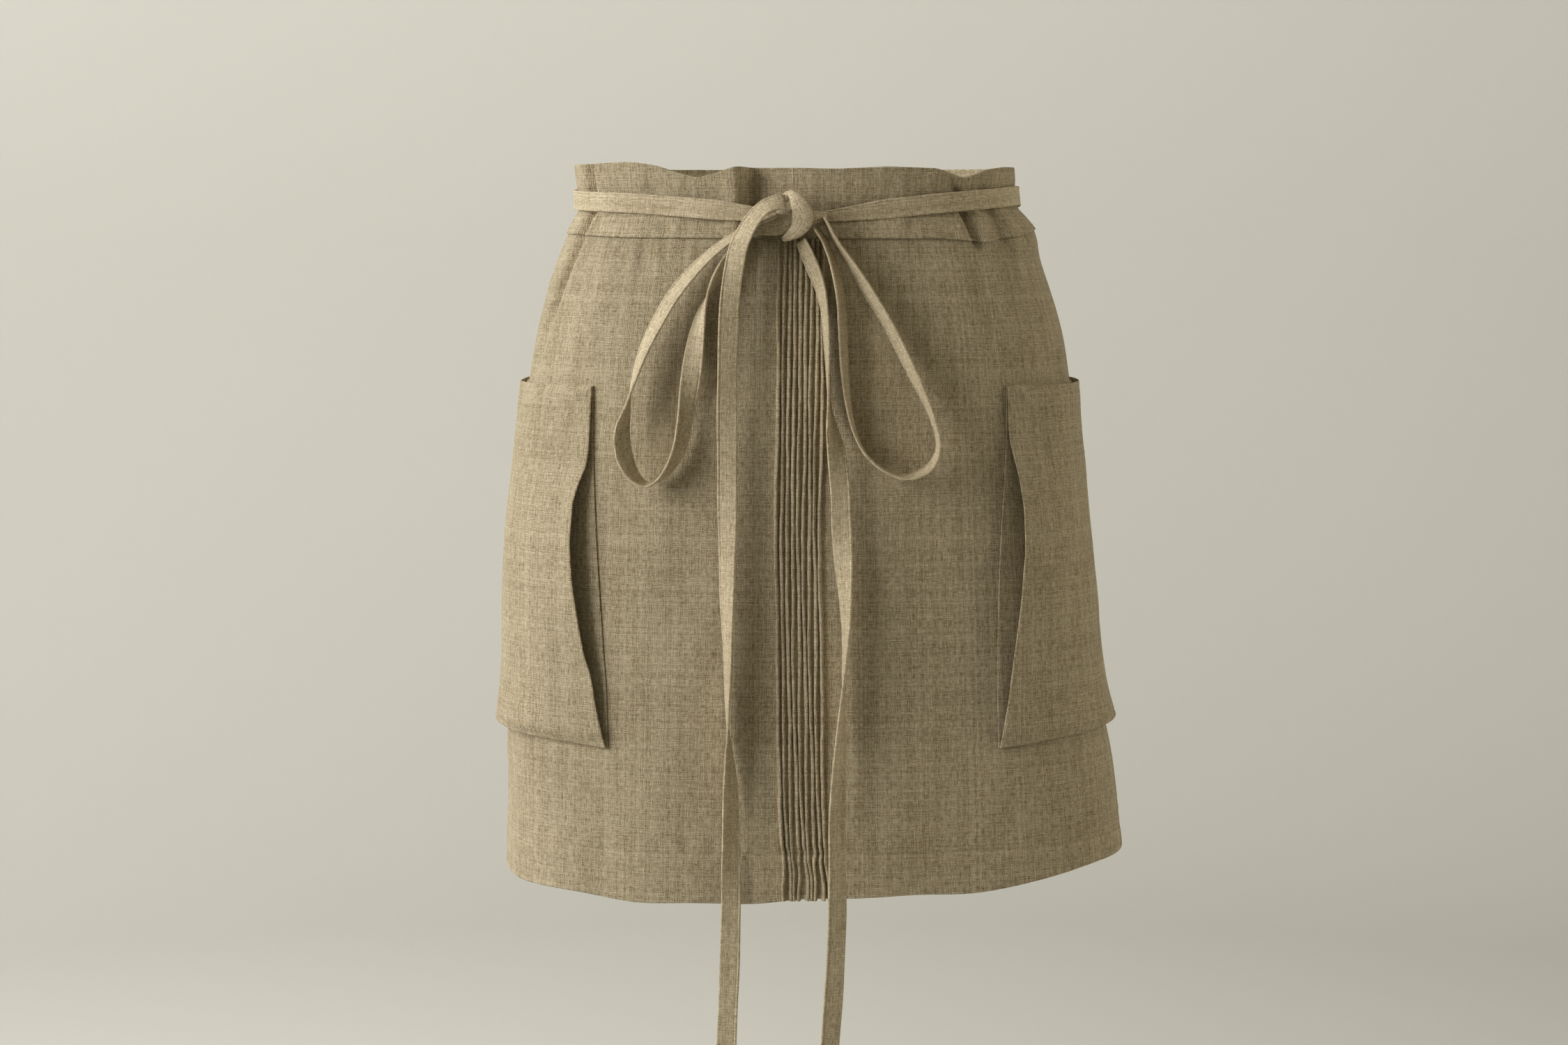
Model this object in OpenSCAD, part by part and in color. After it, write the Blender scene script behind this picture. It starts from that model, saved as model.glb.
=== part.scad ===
// Linen waist apron with wrap-round ties, pin-tucked front and two side pockets.
// It is shaped as it hangs when worn. +Z is up, the front faces -Y, and the
// origin is the middle of the waist, level with the ties.

/* [Waist and hip] */
// Half the waist's width, side to side
waist_half_w = 141; // [120:1:165]
// Depth of the waist in front of the origin
waist_front_d = 104; // [90:1:125]
// Depth of the waist behind the origin
waist_back_d = 100; // [90:1:125]
// How much further out each side is at the hip than at the waist
hip_out = 40; // [25:1:55]
// How much further forward the front is at the hip than at the waist
belly_out = 10; // [4:1:20]
// How much further back the seat is than the waist
seat_out = 36; // [15:1:50]
// Outward flare of each side, in mm for each mm of drop
side_flare = 0.05; // [0:0.01:0.1]
// How far the hem swings towards +X
sway = 12; // [0:1:20]

/* [Cloth] */
// Thickness of one layer of cloth
cloth = 1.2; // [0.8:0.1:1.6]
// Air between layers of cloth
air = 0.3; // [0.25:0.05:0.5]

/* [Waistband] */
// Height of the band above the ties' middle
band_up = 24; // [18:1:30]
// Depth of the band below the ties' middle
band_down = 18; // [14:1:24]
// Half the angle of the gap at the back, at the waist
gap_at_waist = 16; // [10:1:24]

/* [Skirt] */
// Drop from the ties' middle to the hem
skirt_drop = 430; // [400:5:480]
// Half the angle of the gap at the back, at the hem
gap_at_hem = 36; // [26:1:44]
// Depth of the turned-up hem
hem_deep = 31; // [20:1:45]
// Width of the turned-in back edges and of the side seams
seam_w = 14; // [8:1:20]

/* [Pin tucks] */
// Number of tucks
tuck_count = 9; // [5:1:11]
// Distance from tuck to tuck
tuck_pitch = 3.4; // [3:0.1:5]
// Thickness of each folded tuck
tuck_w = 1.5; // [1:0.1:2]
// How far each tuck stands up
tuck_h = 2; // [1:0.1:3]
// Middle of the tucks, across the front
tuck_x = 4.5; // [-10:0.5:15]

/* [Pockets] */
// Drop from the ties' middle to the pockets' top edge
pocket_top = 110; // [90:1:130]
// Height of each pocket
pocket_h = 226; // [180:1:250]
// Angle round the body of the mouth's top corner
mouth_top = 55; // [48:1:62]
// Angle round the body of the mouth's bottom corner
mouth_bottom = 50; // [44:1:58]
// Angle round the body of the pocket's back fold
pocket_rear = 112; // [100:1:125]
// Angle that both pockets have worked round towards +X
pocket_turn = 1.5; // [0:0.5:4]
// How far the mouth's edge gapes off the skirt
gape = 13; // [8:1:20]
// How far the pocket stands off the skirt at the side
fullness = 5; // [3:0.5:8]

/* [Ties] */
// Width of the ties
tie_w = 12.5; // [10:0.5:15]
// Thickness of the ties, two layers sewn flat
tie_t = 1.6; // [1.2:0.1:2]
// Radius of the bow's knot
knot_r = 12; // [10:0.5:14]
// Thickness of the knot, front to back
knot_d = 14; // [10:0.5:18]

/* [Hidden] */

// Outline of the body: a rounded box in plan, squarer in front than behind.
front_square = 2.6;
back_square = 2.1;
swell_drop = 65;
front_slope = 0.02;
back_slope = 0.01;
side_bias = 3;
hem_z = -skirt_drop;
pocket_top_z = -pocket_top;
pocket_bottom_z = -pocket_top - pocket_h;
side_turn = 90;

// Levels and turns at which every layer of cloth has a point, so that layers nest.
levels = [12, 0, -6, -18, -30, -45, -65, -85, -110, -125, -160, -195, -225, -260, -290, -321,
    -336, -365, -399];
column = 6;

// Offsets of the layers from the skirt's outer face.
skirt_in = -cloth;
lining_out = skirt_in - air;
lining_in = lining_out - cloth;
band_in = air;
band_out = band_in + cloth;
tie_in = band_out + air;
tie_out = tie_in + tie_t;
thread = 0.4;

function drop(z) = min(z, 0);
function swell(z) = 1 - exp(drop(z) / swell_drop);
function half_w(z, side) =
    waist_half_w + hip_out * swell(z) - side_flare * drop(z)
    + side * (side_bias + sway * pow(drop(z) / hem_z, 2));
function front_d(z) = waist_front_d + belly_out * swell(z) - front_slope * drop(z);
function back_d(z) = waist_back_d + seat_out * swell(z) - back_slope * drop(z);

// A point of the body's outline, turn degrees round from the front towards +X.
function outline(turn, z) =
    let (ahead = cos(turn) > 0,
        square = ahead ? front_square : back_square,
        across = abs(sin(turn)) / half_w(z, sin(turn) < 0 ? -1 : 1),
        along = abs(cos(turn)) / (ahead ? front_d(z) : back_d(z)),
        reach = pow(pow(across, square) + pow(along, square), -1 / square))
    [reach * sin(turn), -reach * cos(turn)];
function outward(turn, z) =
    let (step = outline(turn + 0.5, z) - outline(turn - 0.5, z))
    [step.y, -step.x] / norm(step);
function skin(turn, z, off) =
    let (p = outline(turn, z) + off * outward(turn, z))
    [p.x, p.y, z];
function turn_at(x, z) = atan2(x, front_d(z));
function rows(top, bottom) =
    concat([top], [for (z = levels) if (z < top - 1 && z > bottom + 1) z], [bottom]);
function back_edge(z) = 180 - gap_at_waist - (gap_at_hem - gap_at_waist) * swell(z);
function mix(a, b, f) = a + (b - a) * f;
function flat(value) = function (turn, z) value;
function fixed(value) = function (z) value;

// The turns of one row of points: the common ones, and a few more spread out
// from the last common one to the piece's own edge.
function row_turns(left, low, n_left, high, right, n_right) =
    concat([for (i = [0:n_left - 1]) mix(left, low, i / n_left)],
        [for (turn = [low:column:high]) turn],
        [for (i = [1:n_right]) mix(high, right, i / n_right)]);

// A closed shell between two matching grids of points, rows from the top down
// and columns from -X to +X as seen from the front.
module shell(outer, inner) {
    n_row = len(outer);
    n_col = len(outer[0]);
    count = n_row * n_col;
    at = function (r, c) r * n_col + c;
    in = function (r, c) count + r * n_col + c;
    last_r = n_row - 1;
    last_c = n_col - 1;
    polyhedron(
        points = [for (grid = [outer, inner]) for (row = grid) each row],
        faces = [
            for (r = [0:last_r - 1]) for (c = [0:last_c - 1]) each [
                [at(r, c), at(r, c + 1), at(r + 1, c + 1)],
                [at(r, c), at(r + 1, c + 1), at(r + 1, c)],
                [in(r, c), in(r + 1, c + 1), in(r, c + 1)],
                [in(r, c), in(r + 1, c), in(r + 1, c + 1)]],
            for (c = [0:last_c - 1]) each [
                [at(0, c), in(0, c), in(0, c + 1)],
                [at(0, c), in(0, c + 1), at(0, c + 1)],
                [at(last_r, c), in(last_r, c + 1), in(last_r, c)],
                [at(last_r, c), at(last_r, c + 1), in(last_r, c + 1)]],
            for (r = [0:last_r - 1]) each [
                [at(r, 0), at(r + 1, 0), in(r + 1, 0)],
                [at(r, 0), in(r + 1, 0), in(r, 0)],
                [at(r, last_c), in(r + 1, last_c), at(r + 1, last_c)],
                [at(r, last_c), in(r, last_c), in(r + 1, last_c)]]]);
}

// Cloth laid on the body between two edges, which are functions of z in
// degrees. The offsets of its two faces are functions of the turn and z.
// A narrow piece gives its number of columns instead of using the common ones.
module lay(left, right, heights, inside, outside, columns = 0) {
    lefts = [for (z = heights) left(z)];
    rights = [for (z = heights) right(z)];
    spare = 0.2;
    low = column * ceil(max(lefts) / column + spare);
    high = column * floor(min(rights) / column - spare);
    n_left = ceil((low - min(lefts)) / column - spare);
    n_right = ceil((max(rights) - high) / column - spare);
    turns = columns > 0
        ? function (z) [for (i = [0:columns]) mix(left(z), right(z), i / columns)]
        : function (z) row_turns(left(z), low, n_left, high, right(z), n_right);
    grid = function (off) [for (z = heights) [for (turn = turns(z)) skin(turn, z, off(turn, z))]];
    shell(grid(outside), grid(inside));
}

// One of a mirrored pair: side is -1 or 1, near and far are its edges in
// degrees from the front, and turned moves both pieces of the pair round.
module lay_side(side, near, far, heights, inside, outside, columns = 0, turned = 0) {
    left = function (z) turned + (side < 0 ? -far(z) : near(z));
    right = function (z) turned + (side < 0 ? -near(z) : far(z));
    lay(left, right, heights, inside, outside, columns);
}

// ---- Waistband ----

split = 0.1;
band_end = back_edge(0);
band_rows = rows(band_up, -band_down);

module waistband(side) {
    color("#a4997d")
        lay_side(side, fixed(split), fixed(band_end), band_rows, flat(band_in), flat(band_out));
}

module waistband_facing(side) {
    color("#938868")
        lay_side(side, fixed(split), fixed(band_end), band_rows, flat(lining_in),
            flat(lining_out));
}

module interfacing(side) {
    inset = 1;
    color("#ddd8c8")
        lay_side(side, fixed(split), fixed(band_end - inset), rows(band_up - inset, 0),
            flat(skirt_in), flat(0));
}

// A row of stitches: a thin cord of thread standing on the cloth.
module stitches(z, from, to, off) {
    lay(fixed(from), fixed(to), [z + thread, z - thread], flat(off), flat(off + thread));
}

module waist_stitching() {
    seam_z = -band_down + 3;
    margin = 1;
    color("#cdbf98") {
        stitches(seam_z, -band_end + margin, -margin, band_out + air);
        stitches(seam_z, margin, band_end - margin, band_out + air);
    }
}

// ---- Skirt ----

skirt_top = -6;
lining_top = -band_down - 1;
hem_top = hem_z + hem_deep;
back = function (z) back_edge(z);

module front_panel() {
    color("#8f8463")
        lay(fixed(-side_turn), fixed(side_turn), rows(skirt_top, hem_z), flat(skirt_in), flat(0));
}

module back_panel(side) {
    color("#8a7f5e")
        lay_side(side, fixed(side_turn + split), back, rows(skirt_top, hem_z), flat(skirt_in),
            flat(0));
}

// Turnings lie inside the skirt, a little clear of it.
module turning(side, near, far, heights, columns = 0, clear = 0) {
    color("#857a5a")
        lay_side(side, near, far, heights, flat(lining_in - clear), flat(lining_out - clear),
            columns);
}

turning_rows = rows(lining_top, hem_top + 1);
seam_turn = seam_w / (waist_half_w + hip_out) * 180 / PI;

module side_seam(side) {
    turning(side, fixed(side_turn - seam_turn / 2), fixed(side_turn + seam_turn / 2),
        turning_rows, 2, 2 * air);
}

module back_edge_hem(side) {
    turning(side, function (z) back_edge(z) - seam_turn, back, turning_rows, 1);
}

hem_rows = rows(hem_top, hem_z + 0.5);

module hem_front() {
    turning(1, fixed(-side_turn), fixed(side_turn), hem_rows);
}

module hem_back(side) {
    turning(side, fixed(side_turn + split), back, hem_rows);
}

tucks_w = (tuck_count - 1) * tuck_pitch + tuck_w;
tucks_left = tuck_x - tucks_w / 2;

module pin_tucks() {
    color("#a89c78")
        for (i = [0:tuck_count - 1]) {
            x = tucks_left + i * tuck_pitch;
            lay(function (z) turn_at(x, z), function (z) turn_at(x + tuck_w, z),
                rows(-band_down - 0.5, hem_z + 0.3), flat(air), flat(air + tuck_h), 1);
        }
}

module hem_stitching() {
    z = hem_top - 2;
    margin = 1;
    edge = back_edge(z) - margin;
    color("#cdbf98") {
        stitches(z, -edge, -side_turn - split, air);
        stitches(z, -side_turn, turn_at(tucks_left, z) - margin, air);
        stitches(z, turn_at(tucks_left + tucks_w, z) + margin, side_turn, air);
        stitches(z, side_turn + split, edge, air);
    }
}

// ---- Pockets ----
// Each is a bag of two layers, sewn at the top, bottom and back, with its
// mouth facing the front.

backing_in = air;
backing_out = backing_in + 0.8;
bag_in = backing_out + air;
lip_w = 4;
lip_back = 1.6;
bow_back = 4.5;
lip_top = pocket_top_z - 20;
lip_bottom = pocket_bottom_z + 20;
corner = 15;

function down(z) = (pocket_top_z - z) / pocket_h;
function bow(z) = sin(180 * min(max(down(z), 0), 1));
function mouth_line(z) = mix(mouth_top, mouth_bottom, down(z));
function mouth_edge(z) = mouth_line(z) + bow_back * bow(z);
function near_end(z) = max(0, min(1, (pocket_top_z - z) / corner, (z - pocket_bottom_z) / corner));
function shut(z) = min(1, near_end(z) * 4);

// How far the front layer stands off: it gapes at the mouth, and it is full
// at the side.
function stand_off(turn, z) =
    let (line = mouth_line(z),
        f = max(0, (abs(turn - pocket_turn) - line) / (pocket_rear - line)))
    shut(z) * (gape * bow(z) * pow(1 - f, 2) + fullness * sin(180 * pow(f, 0.8)));
front_in = function (turn, z) bag_in + stand_off(turn, z);
front_out = function (turn, z) front_in(turn, z) + cloth;
on_front = function (turn, z) front_out(turn, z) + 2 * air;
thread_out = function (turn, z) on_front(turn, z) + thread;

pocket_rows = rows(pocket_top_z, pocket_bottom_z);
pocket_edge = 4;
pocket_front_rows = concat([pocket_top_z, pocket_top_z - pocket_edge],
    [for (z = pocket_rows) if (z < pocket_top_z - corner + 1 && z > pocket_bottom_z + 1) z],
    [pocket_bottom_z + pocket_edge, pocket_bottom_z]);

module pocket_backing(side) {
    color("#6f6548")
        lay_side(side, function (z) mouth_line(z), fixed(pocket_rear), pocket_rows,
            flat(backing_in), flat(backing_out), turned = pocket_turn);
}

module pocket_front(side) {
    edge = function (z) mix(mouth_line(z), mouth_edge(z) + lip_w + lip_back, near_end(z));
    color("#a59a7b")
        lay_side(side, edge, fixed(pocket_rear), pocket_front_rows, front_in, front_out,
            turned = pocket_turn);
}

// The folded edge of the mouth, which swings on its two sewn corners.
module pocket_mouth(side) {
    color("#b8ad8c")
        lay_side(side, function (z) mouth_edge(z), function (z) mouth_edge(z) + lip_w,
            rows(lip_top, lip_bottom), front_in, front_out, 2, pocket_turn);
}

module pocket_bartacks(side) {
    tall = 6;
    wide = 1;
    inset = 1;
    color("#d9cda8")
        for (z = [pocket_top_z - pocket_edge - inset, pocket_bottom_z + pocket_edge + inset + tall])
            lay_side(side, function (z) mouth_line(z) + 3, function (z) mouth_line(z) + 3 + wide,
                [z, z - tall], on_front, thread_out, 1, pocket_turn);
}

module pocket_stitching(side) {
    inset = pocket_edge + 2;
    color("#cdbf98")
        for (z = [pocket_top_z - inset, pocket_bottom_z + inset])
            lay_side(side, fixed(mouth_top + lip_w * 2), fixed(pocket_rear - lip_w),
                [z + thread, z - thread], on_front, thread_out, turned = pocket_turn);
}

// ---- Ties round the waist ----
// Each is sewn to one end of the band, crosses behind and comes round to the
// knot on the other side. The middle's height is given at turns from the front.

left_tie_middle = [[-350, -5], [-335, -1], [-310, 5], [-285, 9], [-240, 4], [-205, -5],
    [-150, -5]];
right_tie_middle = [[150, 11], [205, 11], [260, 7], [310, 4], [335, 0], [357, -5]];
tie_sewn = 12;
knot_x = 6;
knot_z = -5;
knot_gap = 0.6;

// A tie narrows as it goes into the knot.
function tie_half(turn, knot_turn) = tie_w / 2 * min(1, 0.5 + abs(turn - knot_turn) / 40);
function tie_grid(middle, from, to, knot_turn, off) =
    let (common = [for (turn = [-360:column:360]) if (turn > from + 2 && turn < to - 2) turn],
        turns = concat([from], common, [to]))
    [for (up = [1, -1]) [for (turn = turns)
        skin(turn, lookup(turn, middle) + up * tie_half(turn, knot_turn), off)]];

module waist_tie(middle, from, to, knot_turn) {
    color("#b3a786")
        shell(tie_grid(middle, from, to, knot_turn, tie_out),
            tie_grid(middle, from, to, knot_turn, tie_in));
}

knot_reach = knot_r + knot_gap;

module waist_tie_left() {
    meets_knot = turn_at(knot_x + knot_reach, 0) - 360;
    waist_tie(left_tie_middle, meets_knot, -band_end + tie_sewn, meets_knot);
}

module waist_tie_right() {
    meets_knot = turn_at(knot_x - knot_reach, 0) + 360;
    waist_tie(right_tie_middle, band_end - tie_sewn, meets_knot, meets_knot);
}

// The two rows of stitches that hold a tie to the end of the band.
module tie_tack(side, middle) {
    inset = 1;
    apart = 4;
    off = tie_out + 3 * air;
    color("#d9cda8")
        for (up = [-apart, apart])
            lay_side(side, fixed(band_end - tie_sewn + inset), fixed(band_end - inset),
                [middle + up + thread, middle + up - thread], flat(off), flat(off + thread));
}

// ---- Bow ----
// Every strand is a flat tape swept along its route. A route's points are
// [x, y, z, twist]: at twist 0 the tape faces the front, at 90 it is edge-on.

module bow_knot() {
    back_y = -waist_front_d - tie_out - 0.2;
    color("#b0a481")
        translate([knot_x, back_y - knot_d / 2, knot_z]) rotate([90, 0, 0])
            rotate_extrude($fn = 48)
                polygon([[0, -knot_d / 2],
                    for (a = [-75:15:75]) [knot_r * pow(cos(a), 0.5), knot_d / 2 * sin(a)],
                    [0, knot_d / 2]]);
}

left_loop_route = [[-9, -116.2, -3, 80], [-24, -116.4, -9, 72], [-41, -116.9, -20, 65],
    [-57, -117.5, -34, 58], [-72, -118, -51, 52], [-83, -118.5, -69, 55], [-91, -119, -86, 65],
    [-97, -119.4, -104, 80], [-101, -119.6, -119, 100], [-105, -119.6, -136, 135],
    [-104, -119.8, -150, 142], [-99, -120.2, -162, 125], [-90, -120.8, -169, 98],
    [-79, -121, -163, 70], [-70, -120.8, -148, 50], [-66, -120.6, -130, 38],
    [-63.5, -120.2, -112, 15], [-61, -119.6, -94, -10], [-58.5, -119, -77, -35],
    [-55.5, -118.3, -62, -65], [-51, -117.6, -50, -95], [-44.5, -117, -39, -118],
    [-37, -116.7, -28, -125]];
right_loop_route = [[19, -116.2, -5, 82], [27, -116.8, -20, 75], [38, -117.6, -36, 68],
    [49, -118.4, -54, 64], [60, -119.2, -73, 64], [70, -120, -92, 65], [79, -120.8, -110, 70],
    [86, -121.4, -127, 78], [90, -121.8, -145, 80], [85, -122, -158, 72], [72, -122, -164.5, 75],
    [58, -121.8, -161, 84], [46, -121.5, -151, 88], [39, -121.2, -137, 84],
    [34.5, -120.8, -118, 78], [32, -120.2, -96, 72], [31, -119.6, -74, 69],
    [30, -118.8, -54, 68], [26, -117.7, -35, 70], [20, -116.6, -20, 74]];
left_arch_route = [[-4, -121, 4, 42], [-10, -122.6, 4, 45], [-17, -124.8, 1, 47],
    [-24, -126.8, -6, 47], [-29.5, -128, -15, 45], [-33, -128.5, -23, 44], [-34.5, -128.6, -29, 44]];
left_tail_route = [[-34.8, -128.6, -31, 44], [-37, -128.5, -45, 38], [-38.5, -128, -60, 30],
    [-39.5, -127.5, -85, 27], [-40, -127.3, -115, 27], [-40, -127.2, -145, 27],
    [-40, -127.2, -175, 29], [-40, -127.2, -205, 36], [-40, -127.4, -235, 46],
    [-40, -127.6, -265, 60], [-40, -127.8, -295, 72], [-39.5, -128, -320, 86],
    [-39, -128, -340, 112], [-38.5, -127.8, -365, 138], [-38, -127.6, -395, 155],
    [-38, -127.3, -425, 172], [-38.5, -127, -455, 182], [-39.5, -127, -485, 182],
    [-41, -127, -520, 182], [-42, -127, -555, 180]];
right_lead_route = [[5.5, -115.4, -19, 62], [9.5, -116.5, -28, 55], [13.5, -117.8, -38, 54],
    [17, -119.2, -48, 62], [19.5, -120.6, -60, 70], [20.8, -121.8, -73, 72]];
right_tail_route = [[21, -122, -75, 72], [22, -123.2, -95, 80], [22.5, -124.3, -118, 92],
    [24, -124.9, -133, 118], [27, -125.3, -148, 150], [29.5, -125.8, -170, 172],
    [30.5, -126.2, -195, 188], [32, -126.8, -220, 212], [33, -127.6, -242, 234],
    [33, -128.6, -264, 252], [32, -129.6, -290, 266], [30.5, -130.4, -318, 290],
    [29, -131.2, -348, 316], [28, -131.8, -380, 327], [28, -132.2, -412, 333],
    [28, -132.4, -444, 336], [26.5, -132.4, -478, 338], [24, -132.4, -515, 340],
    [22.5, -132.4, -552, 342]];

function unit(v) = v / norm(v);
function place(p) = [p.x, p.y, p.z];
function heading(route, i) =
    unit(place(route[min(i + 1, len(route) - 1)]) - place(route[max(i - 1, 0)]));

// Eight corners of the tape's section: half the width one way, half the
// thickness the other, with the corners cut.
tape_section = [for (c = [[1, 0.5], [0.95, 1], [-0.95, 1], [-1, 0.5],
    [-1, -0.5], [-0.95, -1], [0.95, -1], [1, -0.5]]) [c.x * tie_w / 2, c.y * tie_t / 2]];

function tape_ring(route, i) =
    let (along = heading(route, i),
        face_on = unit(cross(along, [0, -1, 0])),
        edge_on = cross(along, face_on),
        twist = route[i][3],
        wide = face_on * cos(twist) + edge_on * sin(twist),
        thick = cross(along, wide))
    [for (c = tape_section) place(route[i]) + c.x * wide + c.y * thick];

// The two wide faces are split along matching diagonals, so that the tape keeps
// its thickness where it twists.
module tape(route) {
    n = len(route);
    k = len(tape_section);
    color("#b8ac89")
        polyhedron(
            points = [for (i = [0:n - 1]) each tape_ring(route, i)],
            faces = [
                [for (j = [0:k - 1]) j],
                [for (j = [k - 1:-1:0]) (n - 1) * k + j],
                for (i = [0:n - 2]) for (j = [0:k - 1])
                    let (a = i * k + j, b = i * k + (j + 1) % k)
                        each j < k / 2
                            ? [[a, a + k, b + k], [a, b + k, b]]
                            : [[a, a + k, b], [b, a + k, b + k]]]);
}

waistband(-1);  // waistband_left
waistband(1);  // waistband_right
waistband_facing(-1);  // waistband_facing_left
waistband_facing(1);  // waistband_facing_right
interfacing(-1);  // interfacing_left
interfacing(1);  // interfacing_right
waist_stitching();
front_panel();
back_panel(-1);  // back_panel_left
back_panel(1);  // back_panel_right
side_seam(-1);  // side_seam_left
side_seam(1);  // side_seam_right
pin_tucks();
hem_front();
hem_back(-1);  // hem_back_left
hem_back(1);  // hem_back_right
hem_stitching();
back_edge_hem(-1);  // back_edge_hem_left
back_edge_hem(1);  // back_edge_hem_right
pocket_backing(-1);  // pocket_backing_left
pocket_backing(1);  // pocket_backing_right
pocket_front(-1);  // pocket_front_left
pocket_front(1);  // pocket_front_right
pocket_mouth(-1);  // pocket_mouth_left
pocket_mouth(1);  // pocket_mouth_right
pocket_bartacks(-1);  // pocket_bartacks_left
pocket_bartacks(1);  // pocket_bartacks_right
pocket_stitching(-1);  // pocket_stitching_left
pocket_stitching(1);  // pocket_stitching_right
waist_tie_left();
waist_tie_right();
tie_tack(-1, lookup(-band_end, left_tie_middle));  // tie_tack_left
tie_tack(1, lookup(band_end, right_tie_middle));  // tie_tack_right
bow_knot();
tape(left_loop_route);  // bow_loop_left
tape(right_loop_route);  // bow_loop_right
tape(left_arch_route);  // tail_arch_left
tape(right_lead_route);  // tail_lead_right
tape(left_tail_route);  // tie_tail_left
tape(right_tail_route);  // tie_tail_right
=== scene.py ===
# Looks for the linen waist apron. Every layer of cloth, tape and row of stitches
# is its own mesh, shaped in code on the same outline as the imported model.
import math

import bpy
import numpy as np
from mathutils import Euler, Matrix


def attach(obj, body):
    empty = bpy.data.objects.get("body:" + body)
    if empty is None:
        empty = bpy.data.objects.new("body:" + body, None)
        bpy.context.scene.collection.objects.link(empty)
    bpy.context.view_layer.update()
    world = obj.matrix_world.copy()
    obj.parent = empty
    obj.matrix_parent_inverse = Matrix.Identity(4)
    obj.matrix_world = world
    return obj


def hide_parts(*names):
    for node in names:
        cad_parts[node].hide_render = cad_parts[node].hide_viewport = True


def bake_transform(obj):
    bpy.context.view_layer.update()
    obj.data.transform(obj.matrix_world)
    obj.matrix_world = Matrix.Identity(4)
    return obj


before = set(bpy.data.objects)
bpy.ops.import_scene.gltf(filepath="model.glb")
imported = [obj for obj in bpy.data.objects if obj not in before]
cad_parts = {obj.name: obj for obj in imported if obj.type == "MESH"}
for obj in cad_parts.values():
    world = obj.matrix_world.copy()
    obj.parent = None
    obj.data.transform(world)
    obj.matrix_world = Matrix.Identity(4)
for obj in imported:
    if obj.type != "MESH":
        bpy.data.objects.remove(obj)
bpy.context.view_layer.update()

MM = 0.001
SIDES = ((-1, "left"), (1, "right"))

# ---- Bow routes: [x, y, z, twist] in millimetres and degrees ----

# They repeat the CAD's, except for the left tail's twist down to z = -205 and
# the right loop's last point, which carries its end into the knot.

LEFT_LOOP = [[-9, -116.2, -3, 80], [-24, -116.4, -9, 72], [-41, -116.9, -20, 65],
    [-57, -117.5, -34, 58], [-72, -118, -51, 52], [-83, -118.5, -69, 55], [-91, -119, -86, 65],
    [-97, -119.4, -104, 80], [-101, -119.6, -119, 100], [-105, -119.6, -136, 135],
    [-104, -119.8, -150, 142], [-99, -120.2, -162, 125], [-90, -120.8, -169, 98],
    [-79, -121, -163, 70], [-70, -120.8, -148, 50], [-66, -120.6, -130, 38],
    [-63.5, -120.2, -112, 15], [-61, -119.6, -94, -10], [-58.5, -119, -77, -35],
    [-55.5, -118.3, -62, -65], [-51, -117.6, -50, -95], [-44.5, -117, -39, -118],
    [-37, -116.7, -28, -125]]
RIGHT_LOOP = [[19, -116.2, -5, 82], [27, -116.8, -20, 75], [38, -117.6, -36, 68],
    [49, -118.4, -54, 64], [60, -119.2, -73, 64], [70, -120, -92, 65], [79, -120.8, -110, 70],
    [86, -121.4, -127, 78], [90, -121.8, -145, 80], [85, -122, -158, 72], [72, -122, -164.5, 75],
    [58, -121.8, -161, 84], [46, -121.5, -151, 88], [39, -121.2, -137, 84],
    [34.5, -120.8, -118, 78], [32, -120.2, -96, 72], [31, -119.6, -74, 69],
    [30, -118.8, -54, 68], [26, -117.7, -35, 70], [20, -116.6, -20, 74],
    [14, -116, -11, 76]]
LEFT_TAIL = [[-4, -121, 4, 42], [-10, -122.6, 4, 45], [-17, -124.8, 1, 47],
    [-24, -126.8, -6, 44], [-29.5, -128, -15, 38], [-33, -128.5, -23, 30],
    [-34.8, -128.6, -31, 20], [-37, -128.5, -45, 4], [-38.5, -128, -60, -8],
    [-39.5, -127.5, -85, -14], [-40, -127.3, -115, -14], [-40, -127.2, -145, -2],
    [-40, -127.2, -175, 14], [-40, -127.2, -205, 32], [-40, -127.4, -235, 46],
    [-40, -127.6, -265, 60], [-40, -127.8, -295, 72], [-39.5, -128, -320, 86],
    [-39, -128, -340, 112], [-38.5, -127.8, -365, 138], [-38, -127.6, -395, 155],
    [-38, -127.3, -425, 172], [-38.5, -127, -455, 182], [-39.5, -127, -485, 182],
    [-41, -127, -520, 182], [-42, -127, -555, 180]]
RIGHT_TAIL = [[5.5, -115.4, -19, 62], [9.5, -116.5, -28, 55], [13.5, -117.8, -38, 54],
    [17, -119.2, -48, 62], [19.5, -120.6, -60, 70], [21, -122, -75, 72], [22, -123.2, -95, 80],
    [22.5, -124.3, -118, 92], [24, -124.9, -133, 118], [27, -125.3, -148, 150],
    [29.5, -125.8, -170, 172], [30.5, -126.2, -195, 188], [32, -126.8, -220, 212],
    [33, -127.6, -242, 234], [33, -128.6, -264, 252], [32, -129.6, -290, 266],
    [30.5, -130.4, -318, 290], [29, -131.2, -348, 316], [28, -131.8, -380, 327],
    [28, -132.2, -412, 333], [28, -132.4, -444, 336], [26.5, -132.4, -478, 338],
    [24, -132.4, -515, 340], [22.5, -132.4, -552, 342]]
TIE_W = 12.5
TIE_T = 1.6

# ---- Camera ----

CAMERA_AT = (-0.005, -2.113, 0.007)
CAMERA_DOWN = 5.72
CAMERA_LENS = 74.4


def add_camera():
    data = bpy.data.cameras.new("camera")
    data.lens = CAMERA_LENS
    data.sensor_width = 36.0
    camera = bpy.data.objects.new("camera", data)
    camera.location = CAMERA_AT
    camera.rotation_euler = Euler((math.radians(90 - CAMERA_DOWN), 0, 0))
    bpy.context.scene.collection.objects.link(camera)
    bpy.context.scene.camera = camera


add_camera()

# ---- The body's outline, as in the CAD ----

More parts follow.
